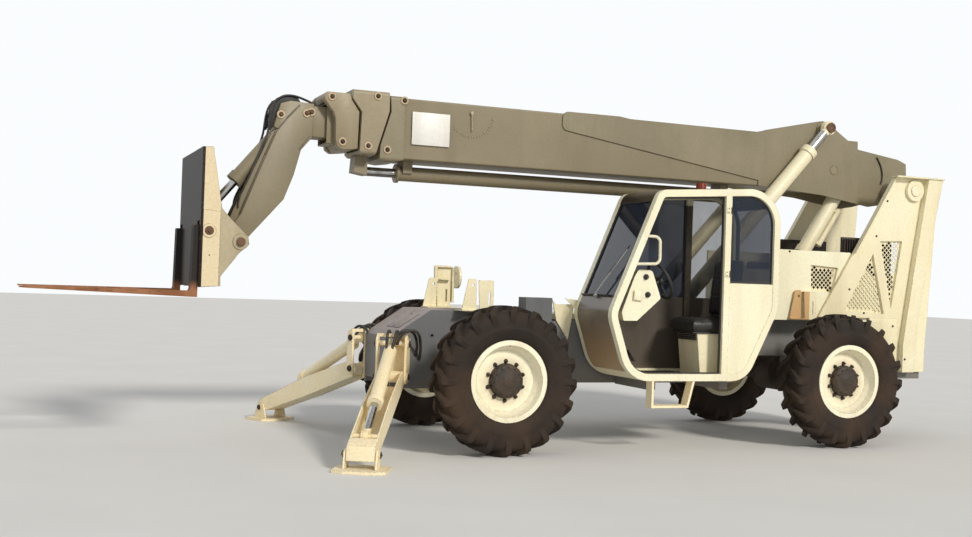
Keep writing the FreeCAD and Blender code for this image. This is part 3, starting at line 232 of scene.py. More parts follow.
class Made:
    """A mesh that grows body by body, in metres in the frame, and is then fitted to the machine."""

    def __init__(self):
        self.mesh = bmesh.new()

    def between(self, low, high, bend=0.0):
        """A closed body between two outlines of the same number of corners, its edges rounded."""
        first = [self.mesh.verts.new(point) for point in low]
        last = [self.mesh.verts.new(point) for point in high]
        faces = [self.mesh.faces.new(first), self.mesh.faces.new(last)]
        for i, corner in enumerate(first):
            j = (i + 1) % len(first)
            faces.append(self.mesh.faces.new((corner, first[j], last[j], last[i])))
        bmesh.ops.recalc_face_normals(self.mesh, faces=faces)
        if bend:
            edges = list({edge for face in faces for edge in face.edges})
            bmesh.ops.bevel(self.mesh, geom=edges, offset=bend, segments=2, profile=0.5, affect="EDGES")

    def plate(self, outline, y0, y1, bend=0.002):
        """A plate drawn in the side view as (x, z) from the front axle, standing from y0 to y1."""
        self.between([from_axle(x, y0, z) for x, z in outline], [from_axle(x, y1, z) for x, z in outline], bend)

    def block(self, low, high, bend=0.003):
        """A block with rounded edges between two corners measured from the front axle."""
        self.plate([(low[0], low[2]), (high[0], low[2]), (high[0], high[2]), (low[0], high[2])], low[1], high[1], bend)

    def turned(self, at, axis, profile, sides=28):
        """A body turned about an axis; the profile is (along, radius), closed at radius 0 or as a ring."""
        axis = Vector(axis).normalized()
        across = axis.orthogonal().normalized()
        other = axis.cross(across)
        rings = []
        for along, radius in profile:
            middle = Vector(at) + axis * along
            turns = [2 * math.pi * i / sides for i in range(sides if radius else 1)]
            rings.append([self.mesh.verts.new(middle + (across * math.cos(t) + other * math.sin(t)) * radius)
                          for t in turns])
        following = rings[1:] + (rings[:1] if profile[0][1] else [])
        faces = []
        for ring, after in zip(rings, following):
            for i in range(sides):
                j = (i + 1) % sides
                corners = (ring[i % len(ring)], ring[j % len(ring)], after[j % len(after)], after[i % len(after)])
                faces.append(self.mesh.faces.new(dict.fromkeys(corners)))
        bmesh.ops.recalc_face_normals(self.mesh, faces=faces)

    def bolt(self, at, axis, size):
        """A hexagon head on its washer, size across."""
        head = Vector(at) + Vector(axis).normalized() * size * 0.1
        self.turned(at, axis, [(0, 0), (0, size * 0.66), (size * 0.14, size * 0.62), (size * 0.14, 0)], 18)
        self.turned(head, axis, [(0, 0), (0, size * 0.54), (size * 0.42, size * 0.54), (size * 0.52, size * 0.44),
                                 (size * 0.52, 0)], 6)

    def rod(self, start, end, radius, sides=16):
        """A round bar with softened ends between two points."""
        run = Vector(end) - Vector(start)
        soft = min(radius * 0.3, run.length * 0.2)
        self.turned(start, run, [(0, 0), (0, radius - soft), (soft, radius), (run.length - soft, radius),
                                 (run.length, radius - soft), (run.length, 0)], sides)

    def fit(self, name, material, body):
        """Puts the finished mesh on the machine, riding on a body."""
        mesh = bpy.data.meshes.new(name)
        self.mesh.to_mesh(mesh)
        self.mesh.free()
        mesh.polygons.foreach_set("use_smooth", [True] * len(mesh.polygons))
        mesh.set_sharp_from_angle(angle=math.radians(32))
        return fitted(name, mesh, material, body)


def fitted(name, data, material, body):
    data.materials.append(material)
    piece = bpy.data.objects.new(name, data)
    scene.collection.objects.link(piece)
    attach(piece, body)
    return piece


def rods(name, routes, radius, material, body):
    """Bent rods or held hoses: one smooth curve through each route's points."""
    curve = bpy.data.curves.new(name, "CURVE")
    curve.dimensions = "3D"
    curve.bevel_depth = radius
    curve.bevel_resolution = 3
    curve.use_fill_caps = True
    for route in routes:
        spline = curve.splines.new("NURBS")
        spline.points.add(len(route) - 1)
        for point, place in zip(spline.points, route):
            point.co = (*place, 1)
        spline.use_endpoint_u = True
        spline.order_u = 3
        spline.resolution_u = 6
    return fitted(name, curve, material, body)




def yard_dust(skin, colour):
    """Pale dust that lies on every flat top of the frame."""
    facing = skin.node("ShaderNodeSeparateXYZ", {}, {"Vector": skin.node("ShaderNodeNewGeometry", {}, {}, "Normal")}, "Z")
    settled = facing.step(0.55, 0.9) * skin.noise(2.2, 6.0, (1, 1, 0.2)).step(0.3, 0.55, 0.6, 1.0)
    return settled.mix(colour, (0.38, 0.315, 0.29, 1))


chassis_paint = painted("chassis_paint", (0.135, 0.142, 0.152, 1), (0.21, 0.205, 0.195, 1), 0.45, 0.4, 0.6, 1.3, 0.5, yard_dust)
dress(chassis_paint, "chassis", "counterweight")


lid_run = Vector((0.740 - 0.440, 0, 1.010 - 1.210))
lid_rise = Vector((-lid_run.z, 0, lid_run.x)).normalized()


def on_lid(part, y, lift):
    """A place on the nose's sloping lid, part of the way down it."""
    return from_axle(0.440, y, 1.210) + lid_run * part + lid_rise * lift


hatch = Made()
hatch.between([on_lid(part, y, 0.0005) for part, y in ((0.2, -0.08), (0.86, -0.08), (0.86, 0.27), (0.2, 0.27))],
              [on_lid(part, y, 0.005) for part, y in ((0.2, -0.08), (0.86, -0.08), (0.86, 0.27), (0.2, 0.27))], 0.002)
hatch.bolt(on_lid(0.26, 0.1, 0.005), lid_rise, 0.014)
hatch.bolt(on_lid(0.8, 0.1, 0.005), lid_rise, 0.014)
hatch.turned(from_axle(0.426, 0.4, 0.982), (0, 1, 0), [(0, 0), (0, 0.02), (0.003, 0.02), (0.003, 0.012), (0, 0.011)], 20)
hatch.fit("nose_hatch", chassis_paint, "chassis")


def worn_steel(name, dark, light, rough, metal):
    """Bare or oily steel with a brown film of dirt, streaked along its length."""
    skin = Val.start(name)
    grain = skin.noise(45.0, 6.0)
    film = skin.noise(6.0, 5.0)
    speck = skin.noise(260.0, 2.0)
    rounded = skin.node("ShaderNodeBevel", {"samples": 4}, {"Radius": 0.003})
    colour = film.step(0.3, 0.7).mix(dark, light)
    colour = (grain.step(0.5, 0.75) * 0.5).mix(colour, (0.13, 0.07, 0.035, 1))
    bump = skin.node("ShaderNodeBump", {}, {"Height": grain * 0.6 + speck * 0.3, "Strength": 0.3,
                                            "Distance": 0.002, "Normal": rounded})
    return skin.finish({"Base Color": colour, "Metallic": metal, "Normal": bump,
                        "Roughness": rough + film * 0.2 + grain * 0.1})


dark_steel = worn_steel("dark_steel", (0.022, 0.017, 0.013, 1), (0.06, 0.042, 0.028, 1), 0.5, 0.15)

# Both drive axles and their knuckles: cast and forged steel, oily and caked with road dirt.
axle_steel = worn_steel("axle_steel", (0.035, 0.027, 0.02, 1), (0.1, 0.075, 0.052, 1), 0.6, 0.15)
dress(axle_steel, "front_axle", "rear_axle")
for end in ("front", "rear"):
    for side in ("left", "right"):
        dress(axle_steel, f"knuckle_{end}_{side}")

# The wheels: pressed steel rims in cream paint, each held by ten nuts round a dark planetary hub.
# Brake dust and rust run from the nuts over the disc.
NUT_CIRCLE = 0.168
DISC_FACE = 0.034
HUB_RADIUS = 0.1445
CREAM = (0.875, 0.79, 0.53, 1)
CREAM_FADED = (0.92, 0.86, 0.62, 1)
AXLE_HEIGHT = 0.64
WHEELBASE = 3.545


def dark_hub(skin, colour):
    """The hub in the middle of each rim is bare dark steel; both axles are tried."""
    aways = []
    for x in (0, -WHEELBASE):
        flat = skin.node("ShaderNodeVectorMath", {"operation": "MULTIPLY"}, {0: skin.place(), 1: (1, 0, 1)})
        middle = (FRONT_AXLE_X + x, 0, AXLE_HEIGHT)
        aways.append(skin.node("ShaderNodeVectorMath", {"operation": "DISTANCE"}, {0: flat, 1: middle}, 1))
    near = skin.math("MINIMUM", *aways)
    colour = near.step(0.150, 0.24, 0.3, 0.0).mix(colour, (0.42, 0.27, 0.14, 1))
    return near.step(0.147, 0.150, 1.0, 0.0).mix(colour, (0.03, 0.019, 0.012, 1))


rim_paint = painted("rim_paint", (0.97, 0.88, 0.63, 1), (0.99, 0.94, 0.72, 1), 0.45, 0.5, 0.2, 1.0, 0.35, dark_hub)
tyre_places = {}
for end in ("front", "rear"):
    for side, outboard in (("left", 1), ("right", -1)):
        low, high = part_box(f"tyre_{end}_{side}")
        centre = (low + high) / 2
        centre.z = low.z + 0.64
        tyre_places[f"{end}_{side}"] = (centre, outboard)
        dress(rim_paint, f"rim_{end}_{side}")
        across = Vector((0, outboard, 0))
        hub = Made()
        hub.turned(centre + across * (DISC_FACE - 0.002), across,
                   [(0, 0), (0, HUB_RADIUS + 0.006), (0.006, HUB_RADIUS + 0.006), (0.009, HUB_RADIUS),
                    (0.05, HUB_RADIUS), (0.056, HUB_RADIUS - 0.004), (0.066, HUB_RADIUS - 0.02), (0.068, 0.11),
                    (0.070, 0.05), (0.074, 0.044), (0.076, 0.036), (0.076, 0)], 56)
        for i in range(12):
            turn = 2 * math.pi * i / 12
            out = Vector((math.cos(turn), 0, math.sin(turn)))
            hub.bolt(centre + across * (DISC_FACE + 0.064) + out * 0.118, across, 0.013)
        hub.fit(f"hub_cover_{end}_{side}", dark_steel, f"wheel_{end}_{side}")
        nuts = Made()
        for i in range(10):
            turn = 2 * math.pi * (i + 0.5) / 10
            out = Vector((math.cos(turn), 0, math.sin(turn)))
            seat = centre + across * DISC_FACE + out * NUT_CIRCLE
            nuts.turned(seat, across, [(0, 0), (0, 0.019), (0.004, 0.018), (0.004, 0)], 20)
            nuts.turned(seat, across, [(0, 0), (0, 0.0165), (0.016, 0.0165), (0.019, 0.013), (0.019, 0)], 6)
            nuts.turned(seat, across, [(0, 0), (0, 0.0095), (0.03, 0.0095), (0.032, 0.007), (0.032, 0)], 14)
        nuts.turned(centre + across * 0.118 + Vector((0, 0, 0.325)), (0, 0, -1),
                    [(0, 0), (0, 0.004), (0.03, 0.004), (0.032, 0)], 10)
        nuts.fit(f"wheel_nuts_{end}_{side}", dark_steel, f"wheel_{end}_{side}")

# The tyres: black rubber on a smooth carcass, with twenty swept lugs a side that run over the shoulder.
# Dry yard dust has turned them brown, and the lugs' tops are scuffed paler.
CARCASS = [(120, 312), (120, 350), (127, 354), (137, 366), (143, 372), (147, 384), (150, 392), (156, 410), (158.5, 440),
           (159.5, 444), (159.5, 452), (158.5, 456), (158.5, 490), (156, 522), (151, 552), (140, 576), (122, 590),
           (90, 597), (45, 600), (0, 601)]
# each step of a lug: foot (across, radius), top (across, radius), half width round the tyre, in millimetres
LUG = [((2, 597), (4, 640), 27), ((50, 597), (50, 640), 27), ((95, 592), (97, 639), 28), ((128, 580), (136, 634), 29),
       ((143, 560), (158, 616), 30), ((149, 535), (165, 585), 31), ((154, 505), (163, 545), 32),
       ((155, 482), (159.4, 492), 33)]
LUG_SWEEP = 68.0
LUG_COUNT = 20
TIP_ANGLE = math.atan2(LUG_SWEEP, 640)
rubber = Val.start("tyre_rubber")
tyre_patch = rubber.noise(3.0, 5.0)
tyre_grain = rubber.noise(55.0, 6.0)
tyre_speck = rubber.noise(300.0, 2.0)
tyre_soft = rubber.node("ShaderNodeBevel", {"samples": 4}, {"Radius": 0.006})
tyre_normal = rubber.node("ShaderNodeNewGeometry", {}, {}, "Normal")
tyre_edge = (1 - rubber.node("ShaderNodeVectorMath", {"operation": "DOT_PRODUCT"}, {0: tyre_soft, 1: tyre_normal}, 1)).step(
    0.02, 0.3)
tyre_dust = (tyre_patch * 0.9 + tyre_grain * 0.25).step(0.42, 0.85)
tyre_colour = tyre_dust.mix((0.017, 0.0115, 0.0085, 1), (0.062, 0.038, 0.023, 1))
tyre_colour = (tyre_edge * tyre_grain.step(0.35, 0.7) * 0.45).mix(tyre_colour, (0.10, 0.068, 0.045, 1))
tyre_bump = rubber.node("ShaderNodeBump", {}, {"Height": tyre_grain + tyre_speck * 0.4, "Strength": 0.35,
                                               "Distance": 0.003, "Normal": tyre_soft})
tyre_rubber = rubber.finish({"Base Color": tyre_colour, "Roughness": 0.72 + tyre_dust * 0.2, "Normal": tyre_bump,
                             "Specular IOR Level": 0.3})


def round_tyre(across, radius, angle, outboard):
    """A point of the tyre from its distance across and out, in millimetres, and the angle from the top."""
    return Vector((radius * math.sin(angle), across * outboard, radius * math.cos(angle))) / 1000


def tyre_mesh(outboard):
    mesh = bmesh.new()
    half = CARCASS[:-1]
    profile = half + [CARCASS[-1]] + [(-y, r) for y, r in reversed(half)]
    steps = 120
    rings = [[mesh.verts.new(round_tyre(y, r, 2 * math.pi * step / steps, outboard)) for y, r in profile]
             for step in range(steps)]
    faces = []
    for step, ring in enumerate(rings):
        after = rings[(step + 1) % steps]
        for i, corner in enumerate(ring):
            j = (i + 1) % len(ring)
            faces.append(mesh.faces.new((corner, ring[j], after[j], after[i])))
    for side in (1, -1):
        for count in range(LUG_COUNT):
            turn = math.pi - TIP_ANGLE + 2 * math.pi / LUG_COUNT * (count + (0.0 if side > 0 else 0.5))
            rows = []
            for step, (foot, top, width) in enumerate(LUG):
                middle = LUG_SWEEP * (2 * (top[0] - 4) / 161 - 1)
                row = []
                for (y, r), reach in ((foot, -width - 5), (top, -width), (top, width), (foot, width + 5)):
                    angle = turn + (middle + reach) / 640
                    row.append(mesh.verts.new(round_tyre(y * side, r, angle, outboard)))
                rows.append(row)
            grown = [mesh.faces.new(rows[0]), mesh.faces.new(rows[-1])]
            for row, after in zip(rows, rows[1:]):
                for i in range(4):
                    j = (i + 1) % 4
                    grown.append(mesh.faces.new((row[i], row[j], after[j], after[i])))
            bmesh.ops.recalc_face_normals(mesh, faces=grown)
            rims = [edge for row in rows for edge in row[1].link_edges if edge.other_vert(row[1]) in
                    {v for other in rows for v in other[1:3]}]
            rims += [edge for row in rows for edge in row[2].link_edges if edge.other_vert(row[2]) in
                     {other[2] for other in rows}]
            bmesh.ops.bevel(mesh, geom=list(set(rims)), offset=0.004, segments=1, profile=0.5, affect="EDGES")
    bmesh.ops.recalc_face_normals(mesh, faces=faces)
    made = bpy.data.meshes.new("tyre")
    mesh.to_mesh(made)
    mesh.free()
    made.polygons.foreach_set("use_smooth", [True] * len(made.polygons))
    made.set_sharp_from_angle(angle=math.radians(30))
    return made


for corner, (centre, outboard) in tyre_places.items():
    tread = tyre_mesh(outboard)
    tread.transform(Matrix.Translation(centre))
    tyre = fitted(f"tyre_tread_{corner}", tread, tyre_rubber, f"wheel_{corner}")
    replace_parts(tyre, f"tyre_{corner}")

# The cream parts of the body: cover, tower, brackets, fender feet and legs are folded and cut plate.
# The paint is chalky, rubbed through along edges, with dark rain streaks below each joint.
cream_paint = painted("cream_paint", CREAM, CREAM_FADED, 0.4, 0.4, 0.25, 1.0, 0.4)
leg_paint = painted("leg_paint", (0.97, 0.81, 0.50, 1), (0.98, 0.89, 0.64, 1), 0.4, 0.6, 0.12, 0.3, 0.3)
panel_paint = painted("panel_paint", (0.93, 0.885, 0.64, 1), (0.965, 0.935, 0.73, 1), 0.35, 0.35, 0.12, 1.0, 0.25)
cabin_paint = painted("cabin_paint", (0.075, 0.06, 0.045, 1), (0.11, 0.09, 0.07, 1), 0.6, 0.5, 0.5, 1.3, 0.5)


def tan_foot(skin, colour):
    """The rear fender foot beside the tower has faded to tan."""
    tan = skin.axis("X").step(FRONT_AXLE_X - 3.465, FRONT_AXLE_X - 3.46) * skin.axis("Z").step(1.2, 1.21)
    tan = tan * skin.axis("X").step(FRONT_AXLE_X - 3.19, FRONT_AXLE_X - 3.18, 1.0, 0.0)
    return tan.mix(colour, (0.62, 0.385, 0.17, 1))


dress(painted("fender_foot_paint", CREAM, CREAM_FADED, 0.4, 0.5, 0.25, 1.0, 0.5, tan_foot), "fender_brackets")
dress(cream_paint, "tower", "grilles", "cab_floor", "cab_rear_panel", "seat_base", "tank")
dress(panel_paint, "engine_cover", "dash", "cab_quarter_panel")
dress(cabin_paint, "cab_inner_panels")
dress(leg_paint, "stabilizer_brackets", "cab_step")
dress(dark_steel, "engine")

# The tower's foot: a cut plate fills the corner behind the rear tyre. Bolts with washers hold the tower's seams.
skirt = Made()
for y0, y1 in ((0.611, 0.6345), (-0.6345, -0.611)):
    skirt.plate([(-WHEELBASE - back, z) for back, z in ((0.69, 1.245), (1.078, 1.245), (1.078, 0.695), (1.0, 0.70),
                                                        (0.965, 0.82), (0.90, 0.98), (0.80, 1.10), (0.69, 1.17))], y0, y1)
skirt.fit("tower_skirt", cream_paint, "chassis")
tower_bolts = Made()
for x, y, z in ((-4.292, 0.635, 2.082), (-3.969, 0.635, 1.527), (-4.537, 0.635, 1.162), (-4.648, 0.70, 0.825),
                (-3.249, 0.600, 1.883), (-4.16, 0.635, 1.29), (-4.42, 0.635, 2.45)):
    for side in (1, -1):
        tower_bolts.bolt(from_axle(x, y * side, z), (0, side, 0), 0.017)
tower_bolts.fit("tower_bolts", dark_steel, "chassis")

# The coolers stand behind the pierced sheets: finned cores of brazed aluminium in folded frames, coloured dark as
# painted shade of the bay behind, so the holes show dark.
cooler = Made()
for side in (1, -1):
    for back_from, back_to, low, high, y in ((0.40, 1.02, 1.30, 2.06, 0.56), (-0.03, 0.30, 1.42, 1.80, 0.52)):
        first, last = -WHEELBASE - back_to, -WHEELBASE - back_from
        cooler.block((first, min(y, y - 0.03) * side, low), (last, (y - 0.06) * side, high), 0.004)
        count = int((last - first) / 0.03)
        for step in range(count):
            x = first + (step + 0.5) * (last - first) / count
            cooler.block((x - 0.004, y * side, low + 0.02), (x + 0.004, (y - 0.03) * side, high - 0.02), 0.001)
cooler.fit("coolers", dark_steel, "chassis")

# The stabilizers: channel legs of plate on heavy pins, each pushed down by a cylinder that lies in it.
# Pins are kept by small bolted plates, and a pair of hoses feeds each cylinder from the frame.
SPLAY = math.radians(90 - 26.6)
HINGE = (0.815, 0.470)


def chromed(name, eye=None, reach=0.075, coat=CREAM, low=None):
    """Hard chrome on a piston rod, dimmed in streaks as painted reflection of the dark ground. Within reach of its eye,
    or below a height, the forging is painted.
    """
    skin = Val.start(name)
    film = skin.noise(9.0, 4.0, (1, 1, 0.3))
    grain = skin.noise(60.0, 4.0)
    sockets = {"Base Color": film.step(0.4, 0.7).mix((0.50, 0.50, 0.50, 1), (0.34, 0.32, 0.29, 1)), "Metallic": 1.0,
               "Roughness": 0.14 + film * 0.16}
    if low:
        forged = skin.axis("Z").step(low, low + 0.004, 1.0, 0.0)
    if eye:
        # the mirrored rods share the finish, so the distance is taken in the side view
        flat = skin.node("ShaderNodeVectorMath", {"operation": "MULTIPLY"}, {0: skin.place(), 1: (1, 0, 1)})
        away = skin.node("ShaderNodeVectorMath", {"operation": "DISTANCE"}, {0: flat, 1: (eye.x, 0, eye.z)}, 1)
        forged = away.step(reach, reach + 0.004, 1.0, 0.0)
    if eye or low:
        paint = grain.step(0.5, 0.7).mix(coat, tuple(part * 0.6 for part in coat[:3]) + (1,))
        sockets = {"Base Color": forged.mix(sockets["Base Color"], paint), "Metallic": 1 - forged,
                   "Roughness": sockets["Roughness"] + forged * 0.3}
    bump = skin.node("ShaderNodeBump", {}, {"Height": grain, "Strength": 0.05, "Distance": 0.001})
    return skin.finish({**sockets, "Normal": bump})


hose = Val.start("hose_rubber")
hose_film = hose.noise(14.0, 4.0)
hose_grain = hose.noise(320.0, 2.0)
hose_bump = hose.node("ShaderNodeBump", {}, {"Height": hose_grain, "Strength": 0.25, "Distance": 0.001})
hose_rubber = hose.finish({"Base Color": hose_film.step(0.35, 0.75).mix((0.012, 0.012, 0.012, 1), (0.07, 0.055, 0.042, 1)),
                           "Roughness": 0.55 + hose_film * 0.2, "Normal": hose_bump})


def splayed(out, along, z, side):
    """A place on a leg from its hinge: outwards, across the leg, and up from the ground."""
    x = HINGE[0] + out * math.cos(SPLAY) - along * math.sin(SPLAY)
    y = HINGE[1] + out * math.sin(SPLAY) + along * math.cos(SPLAY)
    return from_axle(x, y * side, z)


stabilizer_chrome = chromed("stabilizer_rod_finish", low=0.305, coat=(0.93, 0.76, 0.46, 1))
for side, sign in (("left", 1), ("right", -1)):
    toe = Made()
    toe.between([splayed(out, -0.111, z, sign) for out, z in ((1.266, 0.246), (1.378, 0.2), (1.374, 0.19), (1.262, 0.236))],
                [splayed(out, 0.111, z, sign) for out, z in ((1.266, 0.246), (1.378, 0.2), (1.374, 0.19), (1.262, 0.236))],
                0.002)
    toe.between([splayed(out, -0.111, z, sign) for out, z in ((1.378, 0.2), (1.408, 0.088), (1.398, 0.085), (1.366, 0.198))],
                [splayed(out, 0.111, z, sign) for out, z in ((1.378, 0.2), (1.408, 0.088), (1.398, 0.085), (1.366, 0.198))],
                0.002)
    toe.fit(f"stabilizer_toe_{side}", leg_paint, f"stabilizer_leg_{side}")
    dress(leg_paint, f"stabilizer_leg_{side}", f"stabilizer_pad_{side}", f"stabilizer_barrel_{side}")
    dress(stabilizer_chrome, f"stabilizer_rod_{side}")
    keepers = Made()
    along_pin = splayed(0, 1, 0, sign) - splayed(0, 0, 0, sign)
    for z in (0.62, 0.91):
        for face in (1, -1):
            end = splayed(0, face * 0.149, z, sign)
            keepers.turned(end, along_pin * face, [(0, 0), (0, 0.03), (0.005, 0.03), (0.007, 0.028), (0.007, 0)], 24)
            keepers.bolt(end + along_pin * face * 0.006, along_pin * face, 0.016)
    keepers.fit(f"stabilizer_keepers_{side}", dark_steel, "chassis")
    foot_bolts = Made()
    for face in (1, -1):
        end = splayed(1.33, face * 0.145, 0.13, sign)
        foot_bolts.turned(end, along_pin * face, [(0, 0), (0, 0.026), (0.005, 0.026), (0.005, 0)], 24)
        foot_bolts.bolt(end + along_pin * face * 0.004, along_pin * face, 0.015)
    foot_bolts.fit(f"stabilizer_foot_pins_{side}", dark_steel, f"stabilizer_pad_{side}")
    routes = []
    for shift in (-0.035, 0.035):
        routes.append([splayed(-0.14, shift, 0.93, sign), splayed(-0.1, shift, 1.0, sign),
                       splayed(0.02, shift, 1.03, sign), splayed(0.11, shift, 0.95, sign),
                       splayed(0.17, shift * 0.6, 0.86, sign), splayed(0.2, shift * 0.5, 0.8, sign)])
    for shift in (0, 0.034):
        # a wide loop from the frame's side over the bracket's top
        loop = ((0.83, 0.54, 0.90), (0.81, 0.55, 0.985), (0.72, 0.56 + shift, 1.04), (0.64, 0.54 + shift, 1.01),
                (0.585, 0.47, 0.91 - shift), (0.575, 0.42, 0.82 - shift), (0.575, 0.398, 0.80 - shift))
        routes.append([from_axle(x - shift, y * sign, z) for x, y, z in loop])
    rods(f"stabilizer_hoses_{side}", routes, 0.0125, hose_rubber, "chassis")

# The cab: bent square tube with pressed panels, tinted glass set in black rubber and a dark moulded nose. The nose's
# tan lower half is painted reflection, and the glass's dark blue is partly painted reflection.
# There is no door on the left; a rubber lip runs round the doorway and the hinges stand on the pillar.
nose = Val.start("nose_plastic")
nose_patch = nose.noise(1.3, 2.0)
nose_grain = nose.noise(240.0, 2.0)
nose_bump = nose.node("ShaderNodeBump", {}, {"Height": nose_grain, "Strength": 0.05, "Distance": 0.0006})
# painted reflection: the glossy nose is darker at the top and tan towards the bottom, where it mirrors the ground
nose_ground_reflection = nose.axis("Z").step(0.72, 1.32, 1.0, 0.0)
nose_colour = nose_ground_reflection.mix((0.13, 0.115, 0.10, 1), (0.50, 0.33, 0.165, 1))
nose_colour = (nose_patch.step(0.4, 0.75) * 0.35).mix(nose_colour, (0.42, 0.29, 0.16, 1))
nose_plastic = nose.finish({"Base Color": nose_colour, "Roughness": 0.2 + nose_patch * 0.12, "Normal": nose_bump})
dress(nose_plastic, "cab_nose_panel")
smoked = painted("smoked_roof", (0.028, 0.022, 0.017, 1), (0.05, 0.04, 0.03, 1), 0.22, 0.1, 0.35, 1.0, 0.3)
dress(smoked, "cab_roof")
pane = Val.start("cab_glass")
pane_film = pane.noise(5.0, 5.0, (1, 1, 0.4))
# the quarter window and the panes behind the door are clearer than the windscreen
behind_door = pane.axis("X").step(FRONT_AXLE_X - 2.15, FRONT_AXLE_X - 2.14, 1.0, 0.0)
# the dark blue, nearly opaque panes are tinted glass and, in part, a painted reflection of the sky
cab_glass = pane.finish({"Base Color": pane_film.mix((0.010, 0.017, 0.038, 1), (0.022, 0.03, 0.05, 1)),
                         "Roughness": pane_film.step(0.45, 0.8, 0.02, 0.08),
                         "Alpha": pane_film.step(0.3, 0.8, 0.80, 0.87) - behind_door * 0.38, "Specular IOR Level": 0.5})
dress(cab_glass, "cab_glass")
plastic = Val.start("black_plastic")
plastic_patch = plastic.noise(7.0, 4.0)
plastic_grain = plastic.noise(420.0, 2.0)
plastic_bump = plastic.node("ShaderNodeBump", {}, {"Height": plastic_grain, "Strength": 0.3, "Distance": 0.0008})
black_plastic = plastic.finish({"Base Color": plastic_patch.mix((0.013, 0.013, 0.014, 1), (0.038, 0.034, 0.03, 1)),
                                "Roughness": 0.5 + plastic_patch * 0.2, "Normal": plastic_bump})

CAB_OUTLINE = [(-1.420, 2.352, 0.110), (-0.952, 1.230, 0.210), (-1.150, 0.641, 0.300), (-2.390, 0.641, 0.260),
               (-2.722, 1.300, 0.260), (-2.722, 2.440, 0.330)]


def inset(corners, depth):
    """The side view outline drawn in by a depth, with its corner radii."""
    drawn = []
    count = len(corners)
    for i, (x, z, radius) in enumerate(corners):
        here = Vector((x, z))
        back = (here - Vector(corners[i - 1][:2])).normalized()
        on = (Vector(corners[(i + 1) % count][:2]) - here).normalized()
        # the outline runs clockwise, so its inside lies to the right of each run
        inwards = Vector((back.y, -back.x)) + Vector((on.y, -on.x))
        point = here + inwards * (depth / (1 + back.dot(on)))
        drawn.append((point.x, point.y, max(radius - depth, 0.008)))
    return drawn


def rounded(corners, steps=8):
    """Side view points along an outline (x, z, radius) whose corners are turned by arcs."""
    points = []
    count = len(corners)
    for i, (x, z, radius) in enumerate(corners):
        here = Vector((x, z))
        back = (Vector(corners[i - 1][:2]) - here).normalized()
        on = (Vector(corners[(i + 1) % count][:2]) - here).normalized()
        half = back.angle(on) / 2
        centre = here + (back + on).normalized() * (radius / math.sin(half))
        start = here + back * (radius / math.tan(half)) - centre
        end = here + on * (radius / math.tan(half)) - centre
        sweep = start.angle_signed(end)
        for step in range(steps + 1):
            turned = start.copy()
            turned.rotate(Matrix.Rotation(-sweep * step / steps, 2))
            points.append(tuple(centre + turned))
    return points


def band(outline, depth_from, depth_to, y0, y1, name, material):
    """A flat lip that runs round an outline between two insets."""
    outer = rounded(inset(outline, depth_from))
    inner = rounded(inset(outline, depth_to))
    lip = bmesh.new()
    rings = [[lip.verts.new(from_axle(x, y, z)) for x, z in points]
             for points, y in ((outer, y0), (outer, y1), (inner, y1), (inner, y0))]
    for ring, after in zip(rings, rings[1:] + rings[:1]):
        for i in range(len(ring)):
            j = (i + 1) % len(ring)
            lip.faces.new((ring[i], ring[j], after[j], after[i]))
    bmesh.ops.recalc_face_normals(lip, faces=lip.faces)
    mesh = bpy.data.meshes.new(name)
    lip.to_mesh(mesh)
    lip.free()
    mesh.polygons.foreach_set("use_smooth", [True] * len(mesh.polygons))
    mesh.set_sharp_from_angle(angle=math.radians(30))
    return fitted(name, mesh, material, "chassis")


PILLAR = (-2.118, -2.182)


def pillar_painted_shade(skin, colour):
    """Painted shade: the pillar of the frame beside the boom is darkened where it stands in shade."""
    pillar = skin.axis("Y").step(0.56, 0.58, 1.0, 0.0) * skin.axis("Z").step(2.27, 2.29, 1.0, 0.0)
    pillar = pillar * skin.axis("X").step(FRONT_AXLE_X - 2.205, FRONT_AXLE_X - 2.2)
    pillar = pillar * skin.axis("X").step(FRONT_AXLE_X - 2.1, FRONT_AXLE_X - 2.095, 1.0, 0.0)
    return pillar.mix(colour, (0.06, 0.05, 0.04, 1))


frame_paint = painted("frame_paint", (0.92, 0.865, 0.62, 1), (0.955, 0.92, 0.71, 1), 0.35, 0.4, 0.15, 1.0, 0.3, pillar_painted_shade)
dress(frame_paint, "cab_frame")
roof_slope = (2.440 - 2.352) / (2.722 - 1.420)
roof_at_pillar = 2.352 + (-1.420 - PILLAR[0]) * roof_slope
doorway = CAB_OUTLINE[:3] + [(PILLAR[0] - 0.065, 0.641, 0.07), (PILLAR[0] - 0.065, roof_at_pillar, 0.07)]
band(doorway, 0.066, 0.078, 1.112, 1.132, "door_gasket", black_plastic)
quarter_window = [(-2.186, 1.545, 0.012), (-2.668, 1.545, 0.012), (-2.655, 2.37, 0.27), (-2.186, 2.335, 0.02)]
band(quarter_window, -0.004, 0.014, 1.118, 1.134, "quarter_window_gasket", black_plastic)

for side, y in (("outer", 1.076), ("inner", 0.4965)):
    band(CAB_OUTLINE, 0.004, 0.034, y, y + 0.0175, f"cab_seal_{side}", black_plastic)
seal = Made()
seal.plate([(-1.0245, 1.383), (-1.0025, 1.383), (-0.997, 1.401), (-1.019, 1.401)], 0.497, 1.093, 0.003)
seal.plate([(-2.7235, 1.528), (-2.69, 1.528), (-2.69, 1.556), (-2.7235, 1.556)], 0.497, 1.093, 0.003)
seal.fit("window_seals", black_plastic, "chassis")

